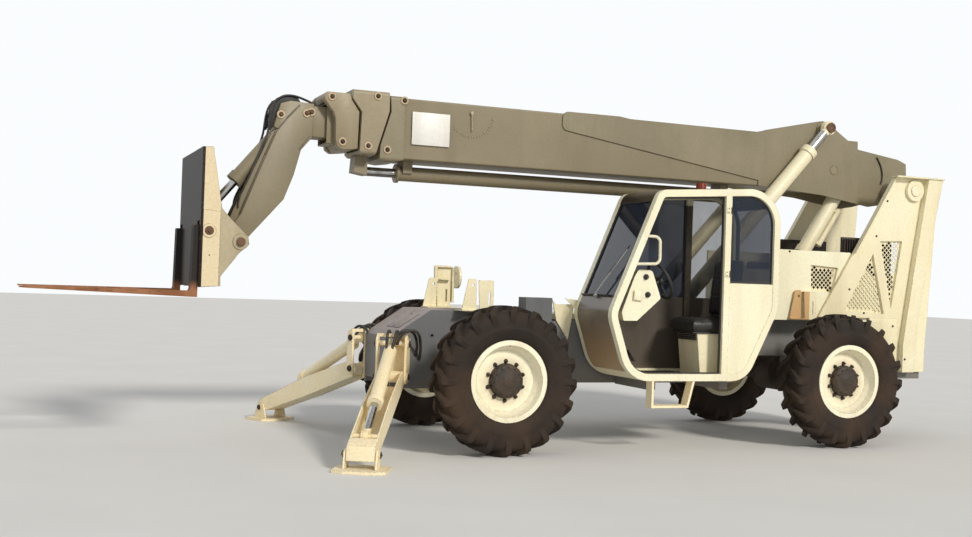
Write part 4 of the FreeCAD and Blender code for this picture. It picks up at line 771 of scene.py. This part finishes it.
cab_bolts = Made()
for x, z, size in ((-2.662, 1.508, 0.014), (-2.226, 1.515, 0.014), (-2.631, 1.376, 0.014), (-2.254, 0.769, 0.014),
                   (-2.60, 1.05, 0.012), (-2.45, 0.80, 0.012)):
    cab_bolts.bolt(from_axle(x, 1.126, z), (0, 1, 0), size)
leaves = Made()
for z in (1.623, 2.206):
    cab_bolts.rod(from_axle(-2.178, 1.166, z - 0.028), from_axle(-2.178, 1.166, z + 0.028), 0.008)
    leaves.plate([(-2.171, z - 0.03), (-2.128, z - 0.03), (-2.128, z + 0.03), (-2.171, z + 0.03)], 1.1595, 1.165)
    for dz in (-0.017, 0.017):
        cab_bolts.bolt(from_axle(-2.145, 1.165, z + dz), (0, 1, 0), 0.009)
cab_bolts.plate([(-2.192, 1.14), (-2.176, 1.14), (-2.176, 1.215), (-2.184, 1.225), (-2.192, 1.215)], 1.126, 1.15, 0.004)
cab_bolts.fit("cab_fittings", dark_steel, "chassis")
leaves.plate([(-1.318, 1.352), (-1.228, 1.362), (-1.235, 1.452), (-1.325, 1.442)], 1.0775, 1.0835, 0.002)
leaves.fit("cab_plates", frame_paint, "chassis")

# The wiper: an arm of grey steel strip on its pivot under the windscreen, with a rubber blade, parked slantwise.
wiper_steel = worn_steel("wiper_steel", (0.36, 0.36, 0.34, 1), (0.50, 0.49, 0.45, 1), 0.4, 0.4)
wiper = Made()
wiper.turned(from_axle(-1.008, 0.794, 1.384), (0.92, 0, 0.38), [(0, 0), (0, 0.02), (0.026, 0.018), (0.03, 0.01), (0.03, 0)], 20)
wiper.rod(from_axle(-0.982, 0.794, 1.392), from_axle(-1.066, 0.925, 1.595), 0.008, 10)
wiper.rod(from_axle(-1.064, 0.922, 1.59), from_axle(-1.16, 1.058, 1.81), 0.005, 10)
wiper.fit("wiper_arm", wiper_steel, "chassis")
blade = Made()
blade.rod(from_axle(-1.062, 0.885, 1.575), from_axle(-1.178, 1.068, 1.845), 0.006, 10)
blade.fit("wiper_blade", black_plastic, "chassis")
flap = Made()
flap.plate([(-0.856, 1.35), (-0.99, 1.335), (-1.0, 1.25), (-0.956, 1.262)], 0.44, 0.452, 0.002)
flap.fit("nose_flap", frame_paint, "chassis")

# The beacon: an amber lens over a black base on the roof, screwed down.
lens = Val.start("beacon_lens")
lens_ribs = lens.math("SINE", lens.axis("Z") * 620.0)
lens_film = lens.noise(20.0, 3.0)
lens_bump = lens.node("ShaderNodeBump", {}, {"Height": lens_ribs, "Strength": 0.5, "Distance": 0.002})
beacon_lens = lens.finish({"Base Color": lens_film.mix((0.30, 0.035, 0.008, 1), (0.20, 0.03, 0.01, 1)),
                           "Roughness": 0.18 + lens_film * 0.15, "Normal": lens_bump})
dress(beacon_lens, "beacon")
beacon_low, beacon_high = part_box("beacon")
beacon_foot = Made()
foot_at = Vector(((beacon_low.x + beacon_high.x) / 2, (beacon_low.y + beacon_high.y) / 2, 2.386))
beacon_foot.turned(foot_at, (0, 0, 1), [(0, 0), (0, 0.062), (0.012, 0.062), (0.02, 0.055), (0.026, 0.052), (0.026, 0)], 32)
beacon_foot.fit("beacon_foot", black_plastic, "chassis")

# The seat: foam under black vinyl, sewn in channels, on a bellows and a cream base.
# Each pad is crowned and pulled in at its corners; a piping seam runs round its edge.
vinyl = Val.start("seat_vinyl")
vinyl_cells = vinyl.node("ShaderNodeTexVoronoi", {}, {"Vector": vinyl.place(), "Scale": 260.0})
vinyl_patch = vinyl.noise(9.0, 4.0)
vinyl_bump = vinyl.node("ShaderNodeBump", {}, {"Height": vinyl_cells, "Strength": 0.25, "Distance": 0.0008})
seat_vinyl = vinyl.finish({"Base Color": vinyl_patch.mix((0.012, 0.012, 0.013, 1), (0.04, 0.037, 0.034, 1)),
                           "Roughness": 0.4 + vinyl_patch * 0.2, "Normal": vinyl_bump})


def pad(name, low, high, lean, crown, channels, movement):
    """A sewn cushion between two corners; it leans back by lean over its height and is inflated by cloth."""
    size = Vector(high) - Vector(low)
    shape = bmesh.new()
    bmesh.ops.create_cube(shape, size=2.0)
    bmesh.ops.subdivide_edges(shape, edges=shape.edges, cuts=15, use_grid_fill=True)
    thin = min(range(3), key=lambda i: size[i])
    for vertex in shape.verts:
        part = vertex.co.copy()
        flat = [i for i in range(3) if i != thin]
        for i in flat:
            part[i] *= 1 - 0.05 * abs(vertex.co[flat[0] if i == flat[1] else flat[1]]) ** 4 - 0.03 * abs(vertex.co[thin]) ** 2
        part[thin] *= 1 - 0.42 * max(abs(vertex.co[i]) for i in flat) ** 8
        part[thin] += crown * (1 - vertex.co[flat[0]] ** 2) * (1 - vertex.co[flat[1]] ** 2) * (1 if part[thin] > 0 else 0)
        vertex.co = Vector(low) + Vector([(part[i] + 1) / 2 * size[i] for i in range(3)])
        vertex.co.x -= lean * (vertex.co.z - low[2]) / size.z
    mesh = bpy.data.meshes.new(name)
    shape.to_mesh(mesh)
    shape.free()
    mesh.polygons.foreach_set("use_smooth", [True] * len(mesh.polygons))
    piece = fitted(name, mesh, seat_vinyl, "chassis")
    remesh = piece.modifiers.new("remesh", "REMESH")
    remesh.mode = "VOXEL"
    remesh.voxel_size = 0.007
    bpy.context.view_layer.objects.active = piece
    bpy.ops.object.modifier_apply(modifier=remesh.name)
    rest = [vertex.co.copy() for vertex in piece.data.vertices]
    cloth = piece.modifiers.new("cloth", "CLOTH")
    cloth.settings.use_pressure = True
    cloth.settings.uniform_pressure_force = 4.0
    cloth.settings.effector_weights.gravity = 0
    for step in range(1, 16):
        scene.frame_set(step)
    bpy.ops.object.modifier_apply(modifier=cloth.name)
    scene.frame_set(1)
    for vertex, start in zip(piece.data.vertices, rest):
        moved = vertex.co - start
        if moved.length > movement:
            vertex.co = start + moved * (movement / moved.length)
    piece.data.polygons.foreach_set("use_smooth", [True] * len(piece.data.polygons))
    # the sewn channels run across the pad, and the piping lies round its middle
    for vertex in piece.data.vertices:
        for axis, place in channels:
            away = abs(vertex.co[axis] - place) / 0.009
            if away < 1:
                vertex.co[thin] -= 0.008 * (1 - away ** 2) * (1 if vertex.co[thin] > (low[thin] + high[thin]) / 2 else 0)
    return piece


seat_x = from_axle(0, 0, 0).x
seat_cushion = pad("seat_cushion", (seat_x - 2.292, 0.600, 1.080), (seat_x - 1.868, 1.060, 1.196), 0.0, 0.14,
                   [(1, 0.70), (1, 0.96), (0, seat_x - 1.98)], 0.012)
seat_back = pad("seat_back", (seat_x - 2.375, 0.612, 1.222), (seat_x - 2.287, 1.048, 1.772), 0.062, 0.16,
                [(1, 0.70), (1, 0.96), (2, 1.42), (2, 1.58)], 0.012)
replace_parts(seat_cushion, "seat")
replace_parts(seat_back, "seat")
seat_metal = Made()
for step in range(4):
    z = 1.003 + step * 0.018
    seat_metal.block((-2.262, 0.67, z), (-1.94, 0.99, z + 0.015), 0.005)
for y in (0.655, 0.985):
    seat_metal.block((-2.27, y, 1.066), (-1.9, y + 0.03, 1.08), 0.003)
seat_metal.block((-2.3, 0.70, 1.09), (-2.285, 0.96, 1.24), 0.005)
seat_metal.fit("seat_bellows", black_plastic, "chassis")

# The controls: a steering wheel on its column, levers beside the dash pod, two pedals and a ribbed mat.
steer_foot = from_axle(-1.42, 0.83, 1.43)
steer_top = from_axle(-1.64, 0.83, 1.54)
steer_axis = (steer_top - steer_foot).normalized()
grip_profile = [(0.014 * math.sin(turn), 0.175 + 0.014 * math.cos(turn))
                for turn in [2 * math.pi * i / 12 for i in range(12)]]
steering = Made()
steering.turned(steer_top, steer_axis, grip_profile, 56)
steering.turned(steer_foot, steer_axis, [(0, 0), (0, 0.034), (0.13, 0.03), (0.135, 0.024), (0.225, 0.022), (0.232, 0.04),
                                         (0.255, 0.043), (0.262, 0.036), (0.265, 0)], 32)
across_wheel = Vector((0, 1, 0))
up_wheel = steer_axis.cross(across_wheel)
for turn in (0, 2.2, -2.2):
    arm = across_wheel * math.sin(turn) + up_wheel * math.cos(turn)
    steering.rod(steer_top + arm * 0.03 - steer_axis * 0.004, steer_top + arm * 0.17, 0.009, 12)
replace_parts(steering.fit("steering", black_plastic, "chassis"), "steering_wheel")
controls = Made()
for x, z in ((-1.356, 1.569), (-1.38, 1.41)):
    controls.turned(from_axle(x, 1.06, z), (0, 1, 0), [(0, 0), (0, 0.026), (0.008, 0.026), (0.012, 0.019), (0.03, 0.016),
                                                     (0.034, 0.012), (0.034, 0)], 24)
for y, lean in ((0.71, 0.02), (0.76, 0.0)):
    foot = from_axle(-1.5, y, 1.36)
    knob = from_axle(-1.62 - lean, y, 1.475)
    controls.rod(foot, knob, 0.006, 10)
    controls.turned(knob, knob - foot, [(-0.006, 0), (0, 0.012), (0.02, 0.018), (0.036, 0.015), (0.044, 0)], 16)
for y in (0.70, 0.90):
    controls.plate([(-1.27, 0.90), (-1.335, 0.80), (-1.345, 0.806), (-1.28, 0.906)], y - 0.04, y + 0.04, 0.002)
    controls.rod(from_axle(-1.3, y, 0.85), from_axle(-1.17, y, 0.95), 0.008, 10)
for step in range(13):
    x = -1.96 + step * 0.042
    controls.block((x, 0.53, 0.681), (x + 0.03, 1.07, 0.688), 0.002)
controls.block((-1.97, 0.52, 0.6775), (-1.42, 1.08, 0.682), 0.001)
controls.fit("cab_controls", black_plastic, "chassis")

# The boom: four nested box sections of folded plate in olive grey. Each has a thick collar at its front, with
# bolts that hold the wear pads inside. The raised collars and side plates are painted paler than the sections.
OLIVE = (0.222, 0.185, 0.112, 1)
OLIVE_FADED = (0.265, 0.222, 0.138, 1)


def paler_outer_plates(half, pale, paler):
    """The plates that stand further out than half the section's width are paler."""
    def over(skin, colour):
        aside = skin.math("ABSOLUTE", skin.axis("Y"))
        outer_tone = skin.noise(1.7, 5.0).step(0.3, 0.7).mix(pale, paler)
        return aside.step(half, half + 0.003).mix(colour, outer_tone)
    return over


boom_paint = painted("boom_paint", OLIVE, OLIVE_FADED, 0.45, 0.35, 0.3, 0.4, 0.3)
collar_paints = {}
for body, half, pale, paler in (("boom_base", 0.2405, (0.222, 0.192, 0.12, 1), (0.27, 0.232, 0.148, 1)),
                                ("boom_2", 0.2, (0.285, 0.238, 0.15, 1), (0.335, 0.28, 0.178, 1)),
                                ("boom_3", 0.16, (0.30, 0.247, 0.155, 1), (0.35, 0.29, 0.185, 1)),
                                ("boom_4", 0.119, (0.225, 0.19, 0.12, 1), (0.265, 0.224, 0.142, 1))):
    collar_paints[body] = painted(f"{body}_paint", OLIVE, OLIVE_FADED, 0.45, 0.35, 0.3, 0.4, 0.3,
                                  paler_outer_plates(half, pale, paler))
dress(collar_paints["boom_base"], "boom_base")
dress(collar_paints["boom_2"], "boom_2")
dress(boom_paint, "extension_barrel")
dress(chromed("chrome_rod"), "extension_rod")
BOOM_REAR = -4.350


def box_tube(made, rear, front, half, low, high, wall):
    """A box section along the machine, open at both ends, its long edges folded round."""
    rings = []
    for x, depth in ((rear, 0), (front, 0), (front, wall), (rear, wall)):
        y, bottom, top, fold = half - depth, low + depth, high - depth, 0.012 if depth == 0 else 0.004
        corners = []
        for side_y, side_z in ((1, 1), (-1, 1), (-1, -1), (1, -1)):
            z = top if side_z > 0 else bottom
            bent = [(y * side_y, z - fold * side_z), ((y - fold * 0.3) * side_y, z - fold * 0.3 * side_z),
                    ((y - fold) * side_y, z)]
            corners += bent if side_y * side_z > 0 else bent[::-1]
        rings.append([made.mesh.verts.new(from_axle(x, *corner)) for corner in corners])
    faces = []
    for ring, after in zip(rings, rings[1:] + rings[:1]):
        for i in range(len(ring)):
            j = (i + 1) % len(ring)
            faces.append(made.mesh.faces.new((ring[i], ring[j], after[j], after[i])))
    bmesh.ops.recalc_face_normals(made.mesh, faces=faces)


third = Made()
box_tube(third, BOOM_REAR + 0.370, 1.390, 0.155, 2.648, 3.014, 0.010)
box_tube(third, BOOM_REAR + 0.371, BOOM_REAR + 0.530, 0.1845, 2.6085, 3.0455, 0.0285)
for y0, y1 in ((0.1555, 0.235), (-0.235, -0.1555)):
    third.plate([(1.415, 3.096), (1.442, 3.059), (1.434, 3.025), (1.352, 2.921), (1.333, 2.867), (1.326, 2.679),
                 (1.312, 2.624), (1.268, 2.595), (1.182, 2.604), (1.124, 2.612), (1.118, 2.940), (1.18, 3.03),
                 (1.21, 3.096)], y0, y1, 0.006)
third.plate([(1.205, 3.0145), (1.415, 3.0145), (1.43, 3.05), (1.415, 3.096), (1.21, 3.096)], -0.156, 0.156, 0.006)
third.plate([(1.124, 2.612), (1.182, 2.604), (1.268, 2.600), (1.31, 2.6475), (1.124, 2.6475)], -0.156, 0.156, 0.004)
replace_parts(third.fit("boom_3_section", collar_paints["boom_3"], "boom_3"), "boom_3")

fourth = Made()
box_tube(fourth, BOOM_REAR + 0.460, 1.560, 0.117, 2.700, 2.974, 0.010)
box_tube(fourth, BOOM_REAR + 0.461, BOOM_REAR + 0.620, 0.1445, 2.6585, 3.0035, 0.0265)
CHEEK = [(1.505, 2.990), (1.712, 3.001), (1.799, 2.972), (1.853, 2.767), (1.817, 2.744), (1.913, 2.510), (2.110, 1.990),
         (2.262, 1.770), (2.248, 1.705), (2.215, 1.668), (2.170, 1.660), (2.080, 1.745), (1.745, 2.134), (1.663, 2.355),
         (1.607, 2.576), (1.514, 2.690)]
for side in (1, -1):
    fourth.plate(CHEEK, *sorted((0.107 * side, 0.131 * side)), 0.003)
    fourth.plate([(1.815, 2.750), (1.863, 2.720), (2.180, 2.004), (2.235, 1.850), (2.195, 1.850), (2.105, 2.000),
                  (1.905, 2.520)], *sorted((0.085 * side, 0.1065 * side)), 0.002)
fourth.plate([(2.080, 1.745), (1.745, 2.134), (1.663, 2.355), (1.607, 2.576), (1.514, 2.690), (1.536, 2.706),
              (1.622, 2.583), (1.680, 2.360), (1.760, 2.145), (2.092, 1.760)], -0.107, 0.107, 0.002)
fourth.turned(from_axle(2.190, -0.131, 1.735), (0, 1, 0), [(0, 0.0385), (0, 0.078), (0.262, 0.078), (0.262, 0.0385)], 40)
fourth.rod(from_axle(1.700, -0.107, 2.830), from_axle(1.700, 0.107, 2.830), 0.026, 24)
fourth.plate([(1.606, 2.930), (1.612, 2.975), (1.790, 2.968), (1.790, 2.930)], -0.106, 0.106, 0.002)
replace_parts(fourth.fit("boom_4_section", collar_paints["boom_4"], "boom_4"), "boom_4")

# The hoses of the carriage come out over the boom's head, lie over its black guide and run down the neck.
guide = Made()
for side in (1, -1):
    guide.plate([(1.620, 3.000), (1.650, 3.040), (1.753, 3.052), (1.835, 3.015), (1.900, 2.760), (1.872, 2.752),
                 (1.795, 2.976), (1.700, 3.003)], *sorted((0.094 * side, 0.1065 * side)), 0.002)
guide.plate([(1.625, 2.976), (1.660, 3.025), (1.748, 3.035), (1.800, 2.975)], -0.094, 0.094, 0.004)
guide.block((1.86, -0.106, 2.775), (1.895, -0.073, 2.84), 0.003)
guide.block((1.86, 0.073, 2.775), (1.895, 0.106, 2.84), 0.003)
guide.fit("hose_guide", black_plastic, "boom_4")
routes = []
for y in (-0.118, -0.099, 0.099, 0.118):
    over = ((1.50, 2.99), (1.60, 3.03), (1.70, 3.052), (1.79, 3.04), (1.86, 2.97), (1.885, 2.85), (1.895, 2.72),
            (1.94, 2.58), (2.015, 2.40), (2.09, 2.22), (2.14, 2.11), (2.135, 2.04))
    routes.append([from_axle(x, y, z) for x, z in over])
rods("carriage_hoses", routes, 0.0085, hose_rubber, "boom_4")
straps = Made()
for side in (1, -1):
    face = sorted((0.131 * side, 0.1345 * side))
    for line, width in (([(1.817, 2.744), (1.741, 2.846), (1.631, 2.970)], 0.016),
                        ([(1.534, 2.702), (1.624, 2.578)], 0.012),
                        ([(1.826, 2.742), (1.922, 2.508), (2.117, 1.998)], 0.010)):
        for (x0, z0), (x1, z1) in zip(line, line[1:]):
            run = Vector((x1 - x0, z1 - z0)).normalized()
            out = Vector((-run.y, run.x)) * width / 2
            straps.plate([(x0 - out.x, z0 - out.y), (x1 - out.x, z1 - out.y), (x1 + out.x, z1 + out.y),
                          (x0 + out.x, z0 + out.y)], *face, 0.001)
strap_paint = painted("strap_paint", (0.12, 0.10, 0.066, 1), (0.16, 0.135, 0.09, 1), 0.5, 0.7, 0.3, 0.4, 0.3)
straps.fit("head_straps", strap_paint, "boom_4")

# The wear pads' bolts: two a side in every collar, each in a pale washer; the head's own are larger and rusty.
washer_paint = painted("washer_paint", (0.56, 0.43, 0.27, 1), (0.64, 0.50, 0.33, 1), 0.5, 0.8, 0.2, 0.3, 0.5)
rust_steel = worn_steel("rust_steel", (0.085, 0.04, 0.022, 1), (0.16, 0.085, 0.05, 1), 0.65, 0.0)
pad_bolts = {"boom_base": [(0.855, 0.249, 2.623), (0.709, 0.249, 3.075)],
             "boom_2": [(1.035, 0.257, 2.644), (0.959, 0.257, 3.091)],
             "boom_3": [(1.264, 0.235, 2.666), (1.371, 0.235, 3.054)],
             "boom_4": [(1.795, 0.131, 2.873), (1.566, 0.131, 2.902), (1.525, 0.131, 2.917)]}
for body, places in pad_bolts.items():
    discs = Made()
    bolts = Made()
    for x, y, z in places:
        for side in (1, -1):
            at = from_axle(x, (y + 0.0005) * side, z)
            discs.turned(at, (0, side, 0), [(0, 0), (0, 0.037), (0.005, 0.037), (0.007, 0.034), (0.007, 0.021),
                                            (0.003, 0.02), (0.003, 0)], 28)
            bolts.bolt(at + Vector((0, 0.003 * side, 0)), (0, side, 0), 0.03)
    discs.fit(f"{body}_pad_discs", washer_paint, body)
    bolts.fit(f"{body}_pad_bolts", rust_steel if body == "boom_4" else dark_steel, body)

# On the base section: a blank white plate, the boom's angle gauge with its pointer, and a cable at the rear.
plate_paint = painted("plate_paint", (0.86, 0.85, 0.80, 1), (0.90, 0.89, 0.85, 1), 0.4, 0.25, 0.1, 0.5, 0.3)
boom_plate = Made()
boom_plate.plate([(0.268, 2.688), (0.630, 2.688), (0.630, 2.985), (0.268, 2.985)], 0.2475, 0.2505, 0.001)
boom_plate.fit("boom_plate", plate_paint, "boom_base")
dial = Made()
dial_middle = Vector((0.056, 3.018))
for tick in range(19):
    # the arc of the scale was read off at three places and closes in a radius of 0.225
    turn = math.radians(190 + tick * 7)
    reach = 0.212 if tick % 3 else 0.202
    out = Vector((math.cos(turn), math.sin(turn)))
    dial.between([from_axle(*(dial_middle.x + out.x * r - out.y * w, y, dial_middle.y + out.y * r + out.x * w))
                  for r, w, y in ((reach, -0.0022, 0.2475), (0.226, -0.0022, 0.2475), (0.226, 0.0022, 0.2475),
                                  (reach, 0.0022, 0.2475))],
                 [from_axle(*(dial_middle.x + out.x * r - out.y * w, y, dial_middle.y + out.y * r + out.x * w))
                  for r, w, y in ((reach, -0.0022, 0.249), (0.226, -0.0022, 0.249), (0.226, 0.0022, 0.249),
                                  (reach, 0.0022, 0.249))])
dial.rod(from_axle(0.058, 0.253, 3.015), from_axle(0.049, 0.253, 2.852), 0.005, 8)
dial.turned(from_axle(dial_middle.x, 0.247, dial_middle.y), (0, 1, 0), [(0, 0), (0, 0.016), (0.01, 0.016), (0.012, 0)], 20)
gauge_paint = painted("gauge_paint", (0.42, 0.37, 0.26, 1), (0.52, 0.47, 0.35, 1), 0.5, 0.4, 0.1, 0.3, 0.3)
dial.fit("angle_gauge", gauge_paint, "boom_base")
boom_mark = Made()
for side in (1, -1):
    boom_mark.turned(from_axle(-4.038, 0.2472 * side, 2.773), (0, side, 0),
                     [(0, 0), (0, 0.052), (0.003, 0.052), (0.003, 0.045), (0.0015, 0.044), (0.0015, 0)], 32)
boom_mark.fit("boom_rear_discs", boom_paint, "boom_base")
rods("boom_rear_cable", [[from_axle(x, 0.256, z) for x, z in ((-4.59, 2.945), (-4.62, 2.906), (-4.655, 2.84), (-4.672, 2.76),
                                                             (-4.665, 2.688), (-4.65, 2.66))]],
     0.007, hose_rubber, "boom_base")

# The carriage: a plate box on two pivot plates, with a bar that the pair of rusty forks hang on.


def carriage_parts(skin, colour):
    """The end strips are bleached pale, and the front face is black paint darkened further as painted shade."""
    x = skin.axis("X")
    colour = x.step(FRONT_AXLE_X + 2.36, FRONT_AXLE_X + 2.364).mix(colour, (0.78, 0.66, 0.44, 1))
    # painted shade: the front face is made near black, black paint together with the shade of a face turned from the
    # light
    return x.step(FRONT_AXLE_X + 2.4975, FRONT_AXLE_X + 2.4995).mix(colour, (0.017, 0.015, 0.017, 1))


carriage_paint = painted("carriage_paint", (0.43, 0.37, 0.25, 1), (0.53, 0.46, 0.32, 1), 0.45, 0.6, 0.2, 0.3, 0.5,
                         carriage_parts, 0.12)
dress(carriage_paint, "carriage")
# painted shade: a thin dark sheet in the hollow over each pivot pin, and a thin dark seam below it
recess_shade = Made()
pins = Made()
for side in (1, -1):
    recess_shade.plate([(2.413, 1.832), (2.421, 1.875), (2.458, 1.894), (2.497, 1.882), (2.497, 1.838), (2.455, 1.85)],
                 *sorted((0.5995 * side, 0.6035 * side)), 0.001)
    recess_shade.plate([(2.365, 1.7335), (2.497, 1.7285), (2.497, 1.7325), (2.365, 1.7375)], *sorted((0.5995 * side, 0.601 * side)), 0)
    pins.turned(from_axle(2.450, 0.609 * side, 1.815), (0, side, 0), [(0, 0), (0, 0.037), (0.008, 0.037), (0.012, 0.032),
                                                                    (0.012, 0)], 32)
    pins.bolt(from_axle(2.450, 0.62 * side, 1.815), (0, side, 0), 0.024)
    pins.bolt(from_axle(2.442, 0.6 * side, 1.616), (0, side, 0), 0.014)
    pins.turned(from_axle(2.190, 0.6 * side, 1.735), (0, side, 0), [(0, 0), (0, 0.034), (0.03, 0.034), (0.034, 0.03),
                                                                  (0.034, 0)], 28)
recess_shade.fit("carriage_recess_shades", dark_steel, "carriage")
pins.fit("carriage_pins", rust_steel, "carriage")
fork_skin = Val.start("fork_steel")
fork_patch = fork_skin.noise(5.0, 6.0)
fork_grain = fork_skin.noise(70.0, 5.0, (0.3, 1, 1))
fork_bump = fork_skin.node("ShaderNodeBump", {}, {"Height": fork_grain, "Strength": 0.4, "Distance": 0.002})
fork_colour = fork_patch.step(0.3, 0.7).mix((0.24, 0.10, 0.045, 1), (0.36, 0.17, 0.085, 1))
fork_colour = fork_grain.step(0.55, 0.8).mix(fork_colour, (0.10, 0.05, 0.03, 1))
# the shanks are black paint, darkened further as painted shade; the blades are rubbed to rust
shank = fork_skin.axis("Z").step(1.335, 1.42) * fork_patch.step(0.62, 0.7, 1.0, 0.6)
fork_colour = shank.mix(fork_colour, (0.028, 0.024, 0.022, 1))
fork_steel = fork_skin.finish({"Base Color": fork_colour, "Specular IOR Level": 0.2, "Roughness": 0.62 + fork_grain * 0.25, "Normal": fork_bump})
dress(fork_steel, "forks")
dress(dark_steel, "fork_shaft")

# The cylinders: painted barrels with screwed glands and chromed rods.
barrel_paint = painted("barrel_paint", CREAM, CREAM_FADED, 0.4, 0.35, 0.3, 0.5, 0.5)
dress(barrel_paint, "lift_barrels", "compensating_barrel")
dress(boom_paint, "tilt_barrel")
REAR_AXLE = -3.545
PIVOT = (REAR_AXLE - 1.215, 2.575)
LIFT_TOP = (PIVOT[0] + 0.880, 3.190)
LIFT_FOOT = (REAR_AXLE + 1.445, 1.240)
COMP_TOP = (PIVOT[0] + 0.510, 2.640)
COMP_FOOT = (REAR_AXLE + 0.312, 1.080)
dress(chromed("lift_rod_finish", from_axle(LIFT_TOP[0], 0, LIFT_TOP[1]), 0.085), "lift_rods")
lift_pins = Made()
for side in (1, -1):
    lift_pins.turned(from_axle(LIFT_TOP[0], 0.384 * side, LIFT_TOP[1]), (0, side, 0),
                     [(0, 0), (0, 0.052), (0.012, 0.052), (0.016, 0.047), (0.016, 0.03), (0.01, 0.028), (0.01, 0)], 32)
lift_pins.fit("lift_pins", rust_steel, "lift_rods")
dress(chromed("compensating_rod_finish", from_axle(COMP_FOOT[0], 0, COMP_FOOT[1]), 0.07), "compensating_rod")
dress(chromed("tilt_rod_finish", from_axle(2.380, 0, 2.000), 0.07, OLIVE), "tilt_rod")
side_tube = Made()
comp_run = (Vector(COMP_FOOT) - Vector(COMP_TOP)).normalized()
comp_across = Vector((comp_run.y, -comp_run.x))
if comp_across.x < 0:
    comp_across = -comp_across


def on_comp(along, across, y):
    """A place beside the compensating cylinder, along it from its upper pin."""
    point = Vector(COMP_TOP) + comp_run * along + comp_across * across
    return from_axle(point.x, y, point.y)


side_tube.rod(on_comp(0.24, -0.118, 0.12), on_comp(0.72, -0.118, 0.12), 0.032, 24)
for along in (0.27, 0.68):
    side_tube.between([on_comp(along, -0.145, 0.10), on_comp(along + 0.035, -0.145, 0.10),
                       on_comp(along + 0.035, -0.06, 0.10), on_comp(along, -0.06, 0.10)],
                      [on_comp(along, -0.145, 0.14), on_comp(along + 0.035, -0.145, 0.14),
                       on_comp(along + 0.035, -0.06, 0.14), on_comp(along, -0.06, 0.14)], 0.003)
side_tube.fit("compensating_side_tube", barrel_paint, "compensating_barrel")
